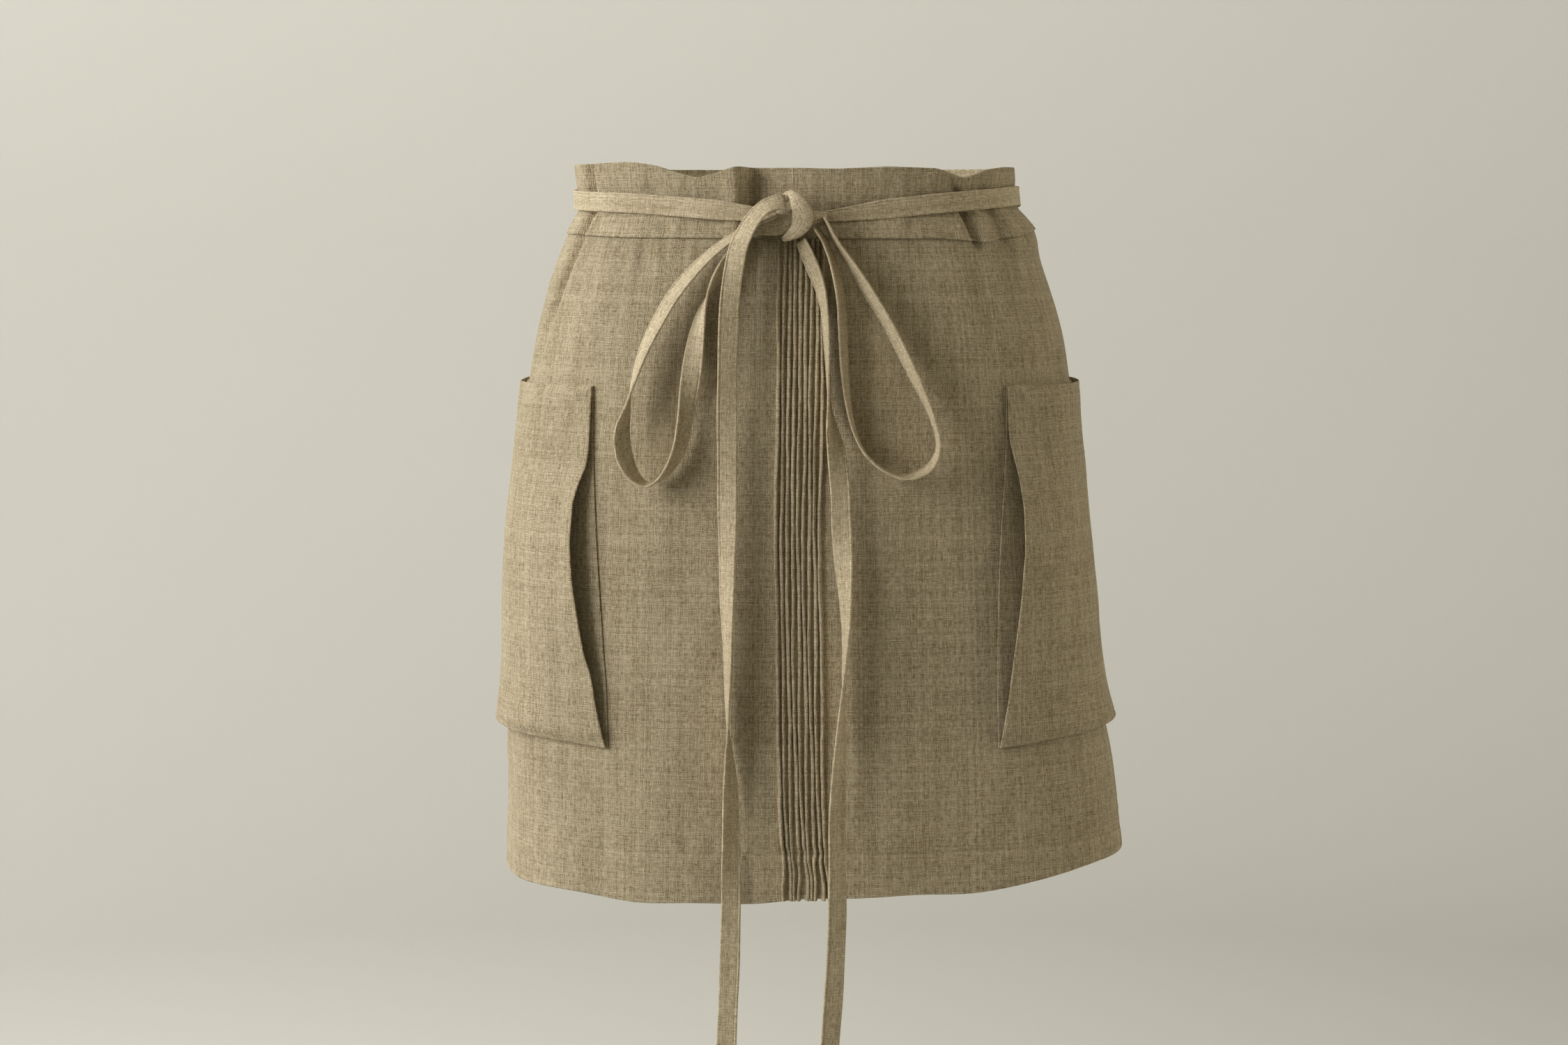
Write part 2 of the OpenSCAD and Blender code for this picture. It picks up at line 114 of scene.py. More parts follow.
WAIST_HALF_W = 141
FRONT_D = 104
BACK_D = 100
HEM_Z = -430.0
HEM_TOP = -399.0
MOUTH_TOP = 55
MOUTH_BOTTOM = 50
POCKET_TOP = -110.0
POCKET_BOTTOM = -336.0
POCKET_REAR = 112
POCKET_TURN = 1.5


def drop(z):
    return np.minimum(z, 0.0)


def swell(z):
    return 1 - np.exp(drop(z) / 65)


def half_w(z, side):
    flare = WAIST_HALF_W + 40 * swell(z) - 0.05 * drop(z)
    return flare + side * (3 + 12 * (drop(z) / HEM_Z) ** 2)


def front_d(z):
    return FRONT_D + 10 * swell(z) - 0.02 * drop(z)


def back_d(z):
    return BACK_D + 36 * swell(z) - 0.01 * drop(z)


def outline(turn, z):
    sin = np.sin(np.radians(turn))
    cos = np.cos(np.radians(turn))
    square = np.where(cos > 0, 2.6, 2.1)
    across = np.abs(sin) / half_w(z, np.where(sin < 0, -1, 1))
    along = np.abs(cos) / np.where(cos > 0, front_d(z), back_d(z))
    reach = (across**square + along**square) ** (-1 / square)
    return reach * sin, -reach * cos


def outward(turn, z):
    x1, y1 = outline(turn + 0.5, z)
    x0, y0 = outline(turn - 0.5, z)
    size = np.hypot(x1 - x0, y1 - y0)
    return (y1 - y0) / size, (x0 - x1) / size


def back_edge(z):
    return 164 - 20 * swell(z)


def turn_at(x, z):
    """Turn of the point of the skirt that is x across the front."""
    turn = np.degrees(np.arctan2(x, front_d(z)))
    for _ in range(6):
        turn = turn + (x - outline(turn, z)[0]) * 0.5
    return turn


# ---- How the cloth hangs: outward moves that all the layers share ----


def hump(at, middle, width):
    return np.exp(-(((at - middle) / width) ** 2))


def below(z, start, length):
    """1 above start, then fading over a length of drop."""
    return np.exp(np.minimum(z - start, 0) / length)


def smoothed(xs, values, step, soft):
    """A finely sampled table of a profile with its corners rounded off."""
    fine = np.arange(xs[0], xs[-1] + step, step)
    level = np.interp(fine, xs, values)
    reach = max(1, int(2.5 * soft / step))
    weights = np.exp(-((np.arange(-reach, reach + 1) * step / soft) ** 2))
    padded = np.pad(level, reach, mode="edge")
    return fine, np.convolve(padded, weights / weights.sum(), mode="valid")


# The fold pressed into the band left of the bow: a ridge, a steep drop to its
# right and a slow rise towards the middle.
PLEAT = smoothed([-90, -60, -48, -40, -35, -31, -26, -22, -15, -5, 5, 15, 40],
    [0, 0, 1, 4, 5.8, 3.6, -7.6, -9, -7.2, -3.8, -1.2, 0, 0], 0.5, 1.8)
FLARE_TURNS = [-180, -140, -90, -60, -36, -27, -18, 0, 30, 60, 75, 95, 140, 180]
FLARE = [3, 3, 0.5, 1.5, 2.5, 4.5, 2, 1, 2.5, 3, 0, -5, 2, 3]
TIE_TURNS = [-180, -150, -100, -50, -25, -3, 10, 25, 50, 75, 120, 155, 180]
TIE_Z = [11, 10, 7, 4, 0, -5, -5, -1, 5, 9, 4, -5, -5]


def drape(turn, z):
    deep = np.clip(z / HEM_Z, 0, 1)
    side = 0.5 - 0.5 * np.cos(np.radians(turn))
    angle = np.radians(turn)
    waves = np.sin(7 * angle + 0.8 + z / 260) + 0.7 * np.sin(12 * angle - 1.1 + z / 150)
    return deep * (0.55 + 3.6 * side) * waves


def ripples(turn, z):
    """Small unevenness of soft, washed cloth."""
    slow = 0.28 * np.sin(0.21 * turn + z / 37 + 1) + 0.24 * np.sin(0.37 * turn - z / 29 + 2.2)
    quick = 0.10 * np.sin(0.83 * turn + z / 13) * np.sin(z / 17 + 0.4 * turn)
    return (slow + quick) * np.clip(-z / 60, 0.25, 1)


def puckers(turn, z):
    """Gathers drawn up by the seam of the band."""
    teeth = np.sin(1.18 * turn) + 0.7 * np.sin(2.03 * turn + 1.3) + 0.5 * np.sin(0.61 * turn)
    return 0.30 * teeth * below(z, -18, 26) * np.where(z > -18, 0.5, 1.0)


def left_side_folds(turn, z):
    """The cloth behind the side is drawn forward and folds over itself."""
    middle = -65 + 0.1 * drop(z)
    fade = below(z, -45, 38)
    crease = -8.5 * hump(turn, middle, 1.7) + 1.8 * hump(turn, middle + 4, 2.6)
    behind = 2.2 * hump(turn, middle - 9, 6) + 5 * hump(turn, -112, 10)
    return fade * (crease + behind)


def band_pleat(x, z):
    return np.interp(x, *PLEAT) * below(z, -12, 9) * (0.75 + 0.25 * np.clip(z / 20, 0, 1))


def dimples(x, z):
    deep = -1.7 * hump(x, -85, 6) * hump(z, 13, 6) - 1.5 * hump(x, -80, 5) * hump(z, -12, 5)
    deep = deep - 1.6 * hump(x, -93, 6) * hump(z, -31, 12)
    return deep - 1.0 * hump(x, 62, 5) * hump(z, 14, 6) - 1.2 * hump(x, 74, 4) * hump(z, -10, 6)


def right_side_folds(x, z):
    near = np.clip((x - 88) / 8, 0, 1)
    side = 5.0 * hump(x, 150, 14) * hump(z, -14, 15)
    middle = 105 - 0.45 * (z - 2)
    band = below(-z, -6, 8) * below(z, -20, 6)
    crease = -5.2 * hump(x, middle, 2.6) + 2.6 * hump(x, middle + 7, 3.5) + 1.4 * hump(x,
        middle - 6, 3.5)
    second = -2.8 * hump(x, middle + 17, 3.0) + 1.8 * hump(x, middle + 24, 4.0)
    rays = 1.2 * np.sin((x - middle) / 4.0 + 1.2) * hump(x, 121, 15) * hump(z, -34, 17)
    return near * ((crease + second) * band + side + rays)


def tie_cinch(turn, z):
    middle = np.interp(turn, TIE_TURNS, TIE_Z)
    return -1.3 * hump(z, middle, 7.5)


# How far each side hangs inside the CAD's outline, by level. These numbers were
# measured by a program, by comparing pictures.
SLIM_Z = [-430, -404, -374, -345, -316, -287, -258, -229, -199, -170, -141, -112, -83, -54, -24, 5,
    24]
SLIM_LEFT = [2.5, 2.8, 3.0, 1.6, 2.4, 2.8, 1.0, 1.0, 1.2, 2.8, 4.5, 5.6, 5.8, 6.6, 5.2, 2.5, 1.0]
SLIM_RIGHT = [0, 0, 0, 1.0, 5.0, 4.4, 2.5, 3.4, 4.2, 3.2, 3.2, 2.4, 0.2, 1.0, 1.0, 0, 0]
SLIM = [smoothed(SLIM_Z, SLIM_LEFT, 2.0, 12.0), smoothed(SLIM_Z, SLIM_RIGHT, 2.0, 12.0)]


def slim(turn, z):
    left = hump(turn, -90, 38) * np.interp(z, *SLIM[0])
    return -left - hump(turn, 90, 38) * np.interp(z, *SLIM[1])


def band_flare(turn, z):
    return np.interp(turn, FLARE_TURNS, FLARE) * np.clip(z / 24, 0, 1.3) ** 1.5


def hang(turn, z):
    turn = (turn + 180) % 360 - 180
    x, y = outline(turn, z)
    ahead = np.clip(1 - (y + 20) / 30, 0, 1)
    moved = drape(turn, z) + ripples(turn, z) + puckers(turn, z)
    moved = moved + left_side_folds(turn, z) + tie_cinch(turn, z) + band_flare(turn, z)
    moved = moved + slim(turn, z)
    return moved + ahead * (band_pleat(x, z) + dimples(x, z) + right_side_folds(x, z))


def place(turn, z, off):
    """Points off the skirt's outer face, with the hang of the cloth."""
    x, y = outline(turn, z)
    nx, ny = outward(turn, z)
    reach = off + hang(turn, z)
    return np.stack([x + reach * nx, y + reach * ny, z + 0 * x], axis=-1)


def arc_table(level):
    turns = np.linspace(-180, 180, 721)
    x, y = outline(turns, np.full_like(turns, level))
    length = np.concatenate([[0], np.cumsum(np.hypot(np.diff(x), np.diff(y)))])
    return turns, length - length[360]


ARC_TURNS, SKIRT_ARC = arc_table(-200.0)
BAND_ARC = arc_table(0.0)[1]


def around(turn, table):
    """Length of cloth from the middle of the front to a turn."""
    laps = np.floor((turn + 180) / 360)
    lap = table[-1] - table[0]
    return np.interp(turn - 360 * laps, ARC_TURNS, table) + laps * lap


# ---- Meshes ----


def add_mesh(name, verts, faces, uvs, material):
    mesh = bpy.data.meshes.new(name)
    mesh.from_pydata((verts * MM).tolist(), [], faces)
    layer = mesh.uv_layers.new(name="cloth")
    corner = np.empty(len(mesh.loops), np.int32)
    mesh.loops.foreach_get("vertex_index", corner)
    layer.data.foreach_set("uv", (uvs[corner] * MM).astype(np.float32).ravel())
    mesh.polygons.foreach_set("use_smooth", np.ones(len(mesh.polygons), bool))
    mesh.materials.append(material)
    mesh.update()
    piece = bpy.data.objects.new(name, mesh)
    bpy.context.scene.collection.objects.link(piece)
    return piece


def grid_faces(rows, cols, start, flip):
    r, c = np.meshgrid(np.arange(rows - 1), np.arange(cols - 1), indexing="ij")
    a = (start + r * cols + c).ravel()
    quad = [a, a + cols, a + cols + 1, a + 1]
    if flip:
        quad = quad[::-1]
    return np.stack(quad, axis=1).tolist()


def rim(rows, cols):
    """Indices round the border of a grid, in order."""
    top = list(range(cols))
    right = [r * cols + cols - 1 for r in range(1, rows)]
    bottom = [(rows - 1) * cols + c for c in range(cols - 2, -1, -1)]
    left = [r * cols for r in range(rows - 2, 0, -1)]
    return top + right + bottom + left


def add_shell(name, outer, inner, uvs, material):
    """A closed thin solid between two matching grids of points."""
    rows, cols = outer.shape[:2]
    count = rows * cols
    verts = np.concatenate([outer.reshape(-1, 3), inner.reshape(-1, 3)])
    faces = grid_faces(rows, cols, 0, False) + grid_faces(rows, cols, count, True)
    edge = rim(rows, cols)
    for i in range(len(edge)):
        a = edge[i]
        b = edge[(i + 1) % len(edge)]
        faces.append((a, b, count + b, count + a))
    flat = uvs.reshape(-1, 2)
    return add_mesh(name, verts, faces, np.concatenate([flat, flat]), material)


EDGE_AT = np.array([0.0, 0.25, 0.7])
EDGE_SHARE = np.array([0.3, 0.78, 1.0])


def spaced(length, step):
    """Positions along a length, closer near both ends, and each one's share of
    the cloth's thickness, which rounds the cut edge."""
    inner = np.linspace(1.5, length - 1.5, max(2, int(round((length - 3) / step)) + 1))
    at = np.concatenate([EDGE_AT, inner, length - EDGE_AT[::-1]])
    share = np.concatenate([EDGE_SHARE, np.ones(len(inner)), EDGE_SHARE[::-1]])
    return at, share


def cloth_panel(name, left, right, top, bottom, middle, half, material, step=(3.0, 3.5),
        relief=None, fit=None, table=SKIRT_ARC):
    """Cloth on the body between two edges, functions of z in degrees. Its
    middle surface is at an offset, relief adds to it, and fit moves its levels."""
    down, row_share = spaced(top - bottom, step[1])
    z = (top - down)[:, None]
    lefts = left(z)
    rights = right(z)
    middle_row = len(z) // 2
    ends = around(np.array([lefts[middle_row, 0], rights[middle_row, 0]]), table)
    across, col_share = spaced(ends[1] - ends[0], step[0])
    turn = lefts + (rights - lefts) * (across / (ends[1] - ends[0]))[None, :]
    level = z + 0 * turn
    if fit is not None:
        level = fit(turn, level)
    share = np.minimum(row_share[:, None], col_share[None, :])
    mid = middle(turn, level) if callable(middle) else middle + 0 * turn
    if relief is not None:
        mid = mid + relief(turn, level)
    uvs = np.stack([around(turn, table), level], axis=-1)
    outer = place(turn, level, mid + half * share)
    inner = place(turn, level, mid - half * share)
    return add_shell(name, outer, inner, uvs, material)


def side_panel(name, side, near, far, turned=0.0, **rest):
    """One of a mirrored pair, with edges given as turns from the front."""
    if side < 0:
        left = lambda z: turned - far(z)
        right = lambda z: turned - near(z)
    else:
        left = lambda z: turned + near(z)
        right = lambda z: turned + far(z)
    return cloth_panel(name, left, right, **rest)


def fixed(value):
    return lambda z: value + 0 * z


# Each layer's middle surface off the skirt's outer face, and half its thickness.
BAND_LAYER = {"middle": 0.95, "half": 0.45}
STIFFENING_LAYER = {"middle": 0.08, "half": 0.25}
FACING_LAYER = {"middle": -0.75, "half": 0.4}
SKIRT_LAYER = {"middle": -0.6, "half": 0.55}
TURNING_LAYER = {"middle": -1.9, "half": 0.45}
SEAM_LAYER = {"middle": -2.3, "half": 0.4}
BACKING_LAYER = {"middle": 0.75, "half": 0.4}
BAG_MIDDLE = 2.0
BAG_HALF = 0.6
# Spacing of the points that rows of stitches follow, in degrees of turn.
STITCH_TURN = 0.4


def unit(v):
    return v / np.linalg.norm(v, axis=-1, keepdims=True)


def run_along(points):
    """The distance along a line of points, at each of them."""
    steps = np.linalg.norm(np.diff(points, axis=0), axis=1)
    return np.concatenate([[0], np.cumsum(steps)])


def smooth_route(route, step):
    """A rounded curve through the route's points, resampled at even steps."""
    p = np.array(route, float)
    p = np.vstack([2 * p[0] - p[1], p, 2 * p[-1] - p[-2]])
    dense = []
    for i in range(1, len(p) - 2):
        t = np.linspace(0, 1, 24, endpoint=False)[:, None]
        a = 2 * p[i]
        b = p[i + 1] - p[i - 1]
        c = 2 * p[i - 1] - 5 * p[i] + 4 * p[i + 1] - p[i + 2]
        d = -p[i - 1] + 3 * p[i] - 3 * p[i + 1] + p[i + 2]
        dense.append((a + b * t + c * t**2 + d * t**3) / 2)
    dense = np.vstack(dense + [p[-2:-1]])
    run = run_along(dense[:, :3])
    at = np.linspace(0, run[-1], int(run[-1] / step) + 1)
    return np.stack([np.interp(at, run, dense[:, k]) for k in range(dense.shape[1])], axis=1), at


def tape_frame(points, twist):
    along = unit(np.gradient(points, axis=0))
    face_on = unit(np.cross(along, np.array([0.0, -1.0, 0.0])))
    edge_on = np.cross(along, face_on)
    angle = np.radians(twist)[:, None]
    wide = face_on * np.cos(angle) + edge_on * np.sin(angle)
    return along, wide, np.cross(along, wide)


# Half a tape's section: place across, from -1 to 1, and height, as a share of
# half the thickness. Folded edges stand proud, with a stitched groove by one.
TAPE_TOP = [[-1.0, 0.0], [-0.985, 0.55], [-0.94, 0.9], [-0.85, 1.0], [-0.74, 0.82], [-0.6, 0.72],
    [-0.3, 0.7], [0.0, 0.72], [0.3, 0.7], [0.52, 0.72], [0.66, 0.74], [0.72, 0.5], [0.78, 0.86],
    [0.88, 1.0], [0.95, 0.9], [0.985, 0.55], [1.0, 0.0]]


def section_loop(top):
    under = [[a, -b] for a, b in top[-2:0:-1]]
    return np.array(top + under)


TAPE_SECTION = section_loop(TAPE_TOP)


def tube_faces(n, k, flip):
    """Faces of a closed tube of n rings of k points each."""
    i, j = np.meshgrid(np.arange(n - 1), np.arange(k), indexing="ij")
    here = (i * k + j).ravel()
    beside = (i * k + (j + 1) % k).ravel()
    first = list(range(k))
    last = [(n - 1) * k + j for j in range(k)]
    if flip:
        quads = [here, here + k, beside + k, beside]
        caps = [tuple(first), tuple(last[::-1])]
    else:
        quads = [here, beside, beside + k, here + k]
        caps = [tuple(first[::-1]), tuple(last)]
    return np.stack(quads, axis=1).tolist() + caps


def add_sweep(name, points, wide, thick, half_widths, half_thicks, loop, run, material):
    """A closed solid with one section, swept along points."""
    a = loop[:, 0][None, :, None] * half_widths[:, None, None]
    b = loop[:, 1][None, :, None] * half_thicks[:, None, None]
    verts = points[:, None, :] + a * wide[:, None, :] + b * thick[:, None, :]
    faces = tube_faces(len(points), len(loop), False)
    lift = np.where(loop[:, 1] < 0, 2.5, 0)[None, :]
    u = loop[:, 0][None, :] * half_widths[:, None] + lift
    uvs = np.stack([u, run[:, None] + 0 * u], axis=-1)
    return add_mesh(name, verts.reshape(-1, 3), faces, uvs.reshape(-1, 2), material)


def add_tape(name, route, material, phase=0.0):
    """A free length of tape along a route, with its slight natural waver."""
    curve, run = smooth_route(route, 2.0)
    points = curve[:, :3]
    along, wide, thick = tape_frame(points, curve[:, 3] + 3 * np.sin(run / 31 + phase))
    half = np.full(len(points), TIE_W / 2) * (1 + 0.02 * np.sin(run / 9 + phase))
    depth = np.full(len(points), TIE_T / 2)
    points = points + 0.25 * np.sin(run / 13 + phase)[:, None] * thick
    return add_sweep(name, points, wide, thick, half, depth, TAPE_SECTION, run, material), points


def add_stitches(name, rows, material, length=2.3, gap=1.2, radius=0.3):
    """Threads of separate stitches along rows of (points, outward normals)."""
    verts = []
    faces = []
    bead = np.array([[-1.0, 0.15], [-0.8, 0.75], [0.0, 1.0], [0.8, 0.75], [1.0, 0.15]])
    spokes = np.linspace(0, 2 * np.pi, 6, endpoint=False)
    bead_faces = tube_faces(len(bead), len(spokes), False)
    for points, normals in rows:
        run = run_along(points)
        for start in np.arange(gap / 2, run[-1] - length, length + gap):
            ends = [np.array([np.interp(s, run, points[:, k]) for k in range(3)])
                for s in (start, start + length)]
            out = unit(np.array([np.interp(start, run, normals[:, k]) for k in range(3)]))
            along = unit(ends[1] - ends[0])
            side = np.cross(along, out)
            base = len(verts)
            for t, r in bead:
                centre = (ends[0] + ends[1]) / 2 + along * (t * length / 2)
                for a in spokes:
                    verts.append(centre + radius * r * (np.cos(a) * side + np.sin(a) * out))
            faces += [[base + i for i in face] for face in bead_faces]
    verts = np.array(verts)
    return add_mesh(name, verts, faces, verts[:, [0, 2]], material)


def cloth_line(turn, z, off):
    """Points and outward normals along a line on the cloth."""
    turn = np.asarray(turn, float)
    z = z + 0 * turn
    nx, ny = outward(turn, z)
    return place(turn, z, off), np.stack([nx, ny, 0 * nx], axis=-1)


# ---- Materials ----


def srgb(r, g, b):
    values = []
    for v in (r, g, b):
        v = v / 255
        values.append(v / 12.92 if v <= 0.04045 else ((v + 0.055) / 1.055) ** 2.4)
    return (*values, 1.0)


def link(tree, source, target):
    if hasattr(source, "is_output"):
        tree.links.new(source, target)
    else:
        target.default_value = source


def calc(tree, kind, a, b=0.0, c=0.0):
    node = tree.nodes.new("ShaderNodeMath")
    node.operation = kind
    for value, socket in zip((a, b, c), node.inputs):
        link(tree, value, socket)
    return node.outputs[0]


def plus(tree, a, b):
    return calc(tree, "ADD", a, b)


def less(tree, a, b):
    return calc(tree, "SUBTRACT", a, b)


def times(tree, a, b):
    return calc(tree, "MULTIPLY", a, b)


def scaled(tree, a, by, more):
    return calc(tree, "MULTIPLY_ADD", a, by, more)


def vector(tree, x, y, z=0.0):
    node = tree.nodes.new("ShaderNodeCombineXYZ")
    for value, socket in zip((x, y, z), node.inputs):
        link(tree, value, socket)
    return node.outputs[0]


def settle(node, values):
    for socket, value in values.items():
        node.inputs[socket].default_value = value


def noise(tree, at, scale=1.0, detail=2.0, rough=0.5):
    node = tree.nodes.new("ShaderNodeTexNoise")
    link(tree, at, node.inputs["Vector"])
    settle(node, {"Scale": scale, "Detail": detail, "Roughness": rough})
    return node.outputs[0]


def random(tree, value):
    node = tree.nodes.new("ShaderNodeTexWhiteNoise")
    node.noise_dimensions = "1D"
    link(tree, value, node.inputs["W"])
    return node.outputs[0]


def blend_of(tree, share, a, b):
    """a where share is 0, b where it is 1."""
    return plus(tree, times(tree, less(tree, b, a), share), a)


def cloth_map(tree):
    """Millimetres across and along the cloth."""
    uv = tree.nodes.new("ShaderNodeUVMap")
    uv.uv_map = "cloth"
    split = tree.nodes.new("ShaderNodeSeparateXYZ")
    tree.links.new(uv.outputs[0], split.inputs[0])
    return [times(tree, split.outputs[i], 1000.0) for i in range(2)]


def threads(tree, mm_u, mm_v, pitch):
    """Numbers of the warp and weft thread at a place, which is on top, and height."""
    wander = vector(tree, mm_u, mm_v)
    sway_u = scaled(tree, noise(tree, wander, 0.11, 2.0), 1.6, -0.8)
    sway_v = scaled(tree, noise(tree, wander, 0.083, 2.0), 1.6, -0.8)
    u = calc(tree, "DIVIDE", plus(tree, mm_u, sway_u), pitch)
    v = calc(tree, "DIVIDE", plus(tree, mm_v, sway_v), pitch)
    warp = calc(tree, "FLOOR", u)
    weft = calc(tree, "FLOOR", v)
    near_u = less(tree, calc(tree, "FRACT", u), 0.5)
    near_v = less(tree, calc(tree, "FRACT", v), 0.5)
    round_u = scaled(tree, times(tree, near_u, near_u), -4.0, 1.0)
    round_v = scaled(tree, times(tree, near_v, near_v), -4.0, 1.0)
    over = calc(tree, "PINGPONG", plus(tree, warp, weft), 1.0)
    warp_h = times(tree, round_u, scaled(tree, round_v, 0.5, 0.5))
    weft_h = times(tree, round_v, scaled(tree, round_u, 0.5, 0.5))
    return warp, weft, over, blend_of(tree, over, weft_h, warp_h)


def specks(tree, mm_u, mm_v):
    """Clouding, slubs along the threads and fine fuzz."""
    cloud = vector(tree, mm_u, times(tree, mm_v, 0.4))
    mottle = scaled(tree, noise(tree, cloud, 0.06, 4.0, 0.6), 0.34, -0.17)
    long_u = vector(tree, times(tree, mm_u, 0.3), times(tree, mm_v, 1.7))
    long_v = vector(tree, times(tree, mm_u, 1.7), times(tree, mm_v, 0.22))
    slubs = plus(tree, noise(tree, long_u, 1.0, 2.0), noise(tree, long_v, 1.0, 2.0))
    slubs = scaled(tree, slubs, 0.8, -0.8)
    fuzz = noise(tree, vector(tree, mm_u, mm_v), 1.9, 2.0, 0.8)
    fuzz = scaled(tree, fuzz, 0.8, -0.4)
    return plus(tree, mottle, plus(tree, slubs, fuzz))


def woven(tree, pitch, slub):
    """Tone from 0 to 1, with painted shade where the threads dip, and height, of plain-woven cloth
    on the cloth map.
    """
    mm_u, mm_v = cloth_map(tree)
    warp, weft, over, height = threads(tree, mm_u, mm_v, pitch)
    warp_thick = noise(tree, vector(tree, times(tree, warp, 0.71),
        times(tree, mm_v, 0.09)), 1.0, 3.0, 0.6)
    weft_thick = noise(tree, vector(tree, times(tree, mm_u, 0.09),
        times(tree, weft, 0.71)), 1.0, 3.0, 0.6)
    warp_tone = scaled(tree, random(tree, warp), 0.28, warp_thick)
    weft_tone = scaled(tree, random(tree, plus(tree, weft, 71.3)), 0.28, weft_thick)
    thread_tone = blend_of(tree, over, weft_tone, warp_tone)
    both = scaled(tree, weft_tone, 0.45, warp_tone)
    both = scaled(tree, both, 0.15, -0.146)
    streak = times(tree, both, slub)
    fine = scaled(tree, less(tree, thread_tone, 0.67), 0.6 * slub, 0.5)
    tone = plus(tree, plus(tree, fine, streak), specks(tree, mm_u, mm_v))
    # Painted shade: the tone is darkened where the thread height is low, in the dips between the
    # threads.
    tone = scaled(tree, less(tree, height, 0.5), 0.30, tone)
    swell_h = scaled(tree, thread_tone, 0.9, height)
    return tone, swell_h


def cloth_material(name, dark, light, pitch, slub, rough, sheen, relief):
    material = bpy.data.materials.new(name)
    material.use_nodes = True
    tree = material.node_tree
    shader = tree.nodes["Principled BSDF"]
    tone, height = woven(tree, pitch, slub)
    ramp = tree.nodes.new("ShaderNodeValToRGB")
    ramp.color_ramp.elements[0].position = 0.12
    ramp.color_ramp.elements[0].color = dark
    ramp.color_ramp.elements[1].position = 0.88
    ramp.color_ramp.elements[1].color = light
    tree.links.new(tone, ramp.inputs[0])
    tree.links.new(ramp.outputs[0], shader.inputs["Base Color"])
    bump = tree.nodes.new("ShaderNodeBump")
    settle(bump, {"Strength": relief, "Distance": 0.0004})
    tree.links.new(height, bump.inputs["Height"])
    tree.links.new(bump.outputs[0], shader.inputs["Normal"])
    shade = scaled(tree, height, -0.08, rough)
    tree.links.new(shade, shader.inputs["Roughness"])
    settle(shader, {"Specular IOR Level": 0.18, "Sheen Weight": sheen, "Sheen Roughness": 0.45,
        "Sheen Tint": srgb(226, 214, 190)})
    return material


LINEN = cloth_material("linen", srgb(129, 112, 79), srgb(222, 208, 178), 0.72, 1.3, 0.88, 0.12,
    0.9)
TAPE = cloth_material("tie_tape", srgb(133, 117, 85), srgb(224, 210, 181), 0.6, 1.1, 0.85, 0.15,
    0.4)
THREAD = cloth_material("thread", srgb(168, 155, 126), srgb(205, 193, 165), 0.3, 0.5, 0.75, 0.1,
    0.3)
INTERFACING = cloth_material("interfacing", srgb(206, 202, 190), srgb(228, 224, 214), 0.6, 0.5,
    0.9, 0.0, 0.3)


def keep(piece, body, slot, *nodes):
    if body is not None:
        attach(piece, body)
    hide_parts(*nodes)
    return piece


# ---- Bow ----


def add_bow():
    left_loop, left_path = add_tape("loop_left_tape", LEFT_LOOP, TAPE, 0.4)
    keep(left_loop, "bow_loop_left", "tie_tape", "bow_loop_left")
    right_loop, right_path = add_tape("loop_right_tape", RIGHT_LOOP, TAPE, 2.1)
    keep(right_loop, "bow_loop_right", "tie_tape", "bow_loop_right")
    left_tail, left_way = add_tape("tail_left_tape", LEFT_TAIL, TAPE, 3.7)
    keep(left_tail, None, "tie_tape", "tail_arch_left", "tie_tail_left")
    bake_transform(left_tail)
    right_tail, right_way = add_tape("tail_right_tape", RIGHT_TAIL, TAPE, 5.2)
    keep(right_tail, None, "tie_tape", "tail_lead_right", "tie_tail_right")
    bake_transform(right_tail)


add_bow()

# The knot's strands: [x, y, z, width], from the back of the fold to its end.
KNOT_WRAP = [[-5, -111, 6, 5], [-2.5, -115.5, 8.6, 5.5], [0.6, -119.5, 8.2, 6.5],
    [4.0, -122.4, 3.2, 10], [6.4, -123.6, -3.4, 13], [5.6, -123.6, -8.6, 12],
    [2.4, -122.6, -13.2, 9], [-2.6, -120.2, -16.6, 5.5], [-5.5, -116, -18, 3.5]]
KNOT_ACROSS = [[-9, -111, -5, 9], [-3, -114.5, -5.5, 11], [3, -117.2, -5.5, 12],
    [9, -117.6, -5.5, 11], [14, -115.4, -5, 8.5], [20, -110.5, -4.5, 7]]
KNOT_UNDER = [[-27, -108.5, -9, 11], [-19, -112.5, -9.5, 12.5], [-11, -116, -9.5, 13],
    [-4, -118.4, -8.5, 12], [3, -118.2, -7, 9]]
FOLD_SECTION = section_loop([[-1.0, 0.0], [-0.95, 0.45], [-0.8, 0.75], [-0.5, 0.95], [-0.1, 1.0],
    [0.3, 0.92], [0.65, 0.72], [0.88, 0.5], [0.97, 0.3], [1.0, 0.0]])


def add_strand(name, route, thick_mm, tilt):
    curve, run = smooth_route(route, 1.2)
    points = curve[:, :3]
    along, wide, thick = tape_frame(points, tilt + 0 * run)
    half = curve[:, 3] / 2
    depth = np.full(len(points), thick_mm / 2) * (1 + 0.06 * np.sin(run / 3.1))
    return add_sweep(name, points, wide, thick, half, depth, FOLD_SECTION, run, TAPE)


def join(name, pieces):
    with bpy.context.temp_override(active_object=pieces[0], selected_editable_objects=pieces):
        bpy.ops.object.join()
    pieces[0].name = name
    return pieces[0]


def add_knot():
    strands = [add_strand("knot_wrap", KNOT_WRAP, 2.6, 0.0),
        add_strand("knot_across", KNOT_ACROSS, 5.0, 0.0),
        add_strand("knot_under", KNOT_UNDER, 3.4, 8.0)]
    keep(join("knot_strands", strands), "apron", "tie_tape", "bow_knot")


add_knot()

# ---- Waistband ----

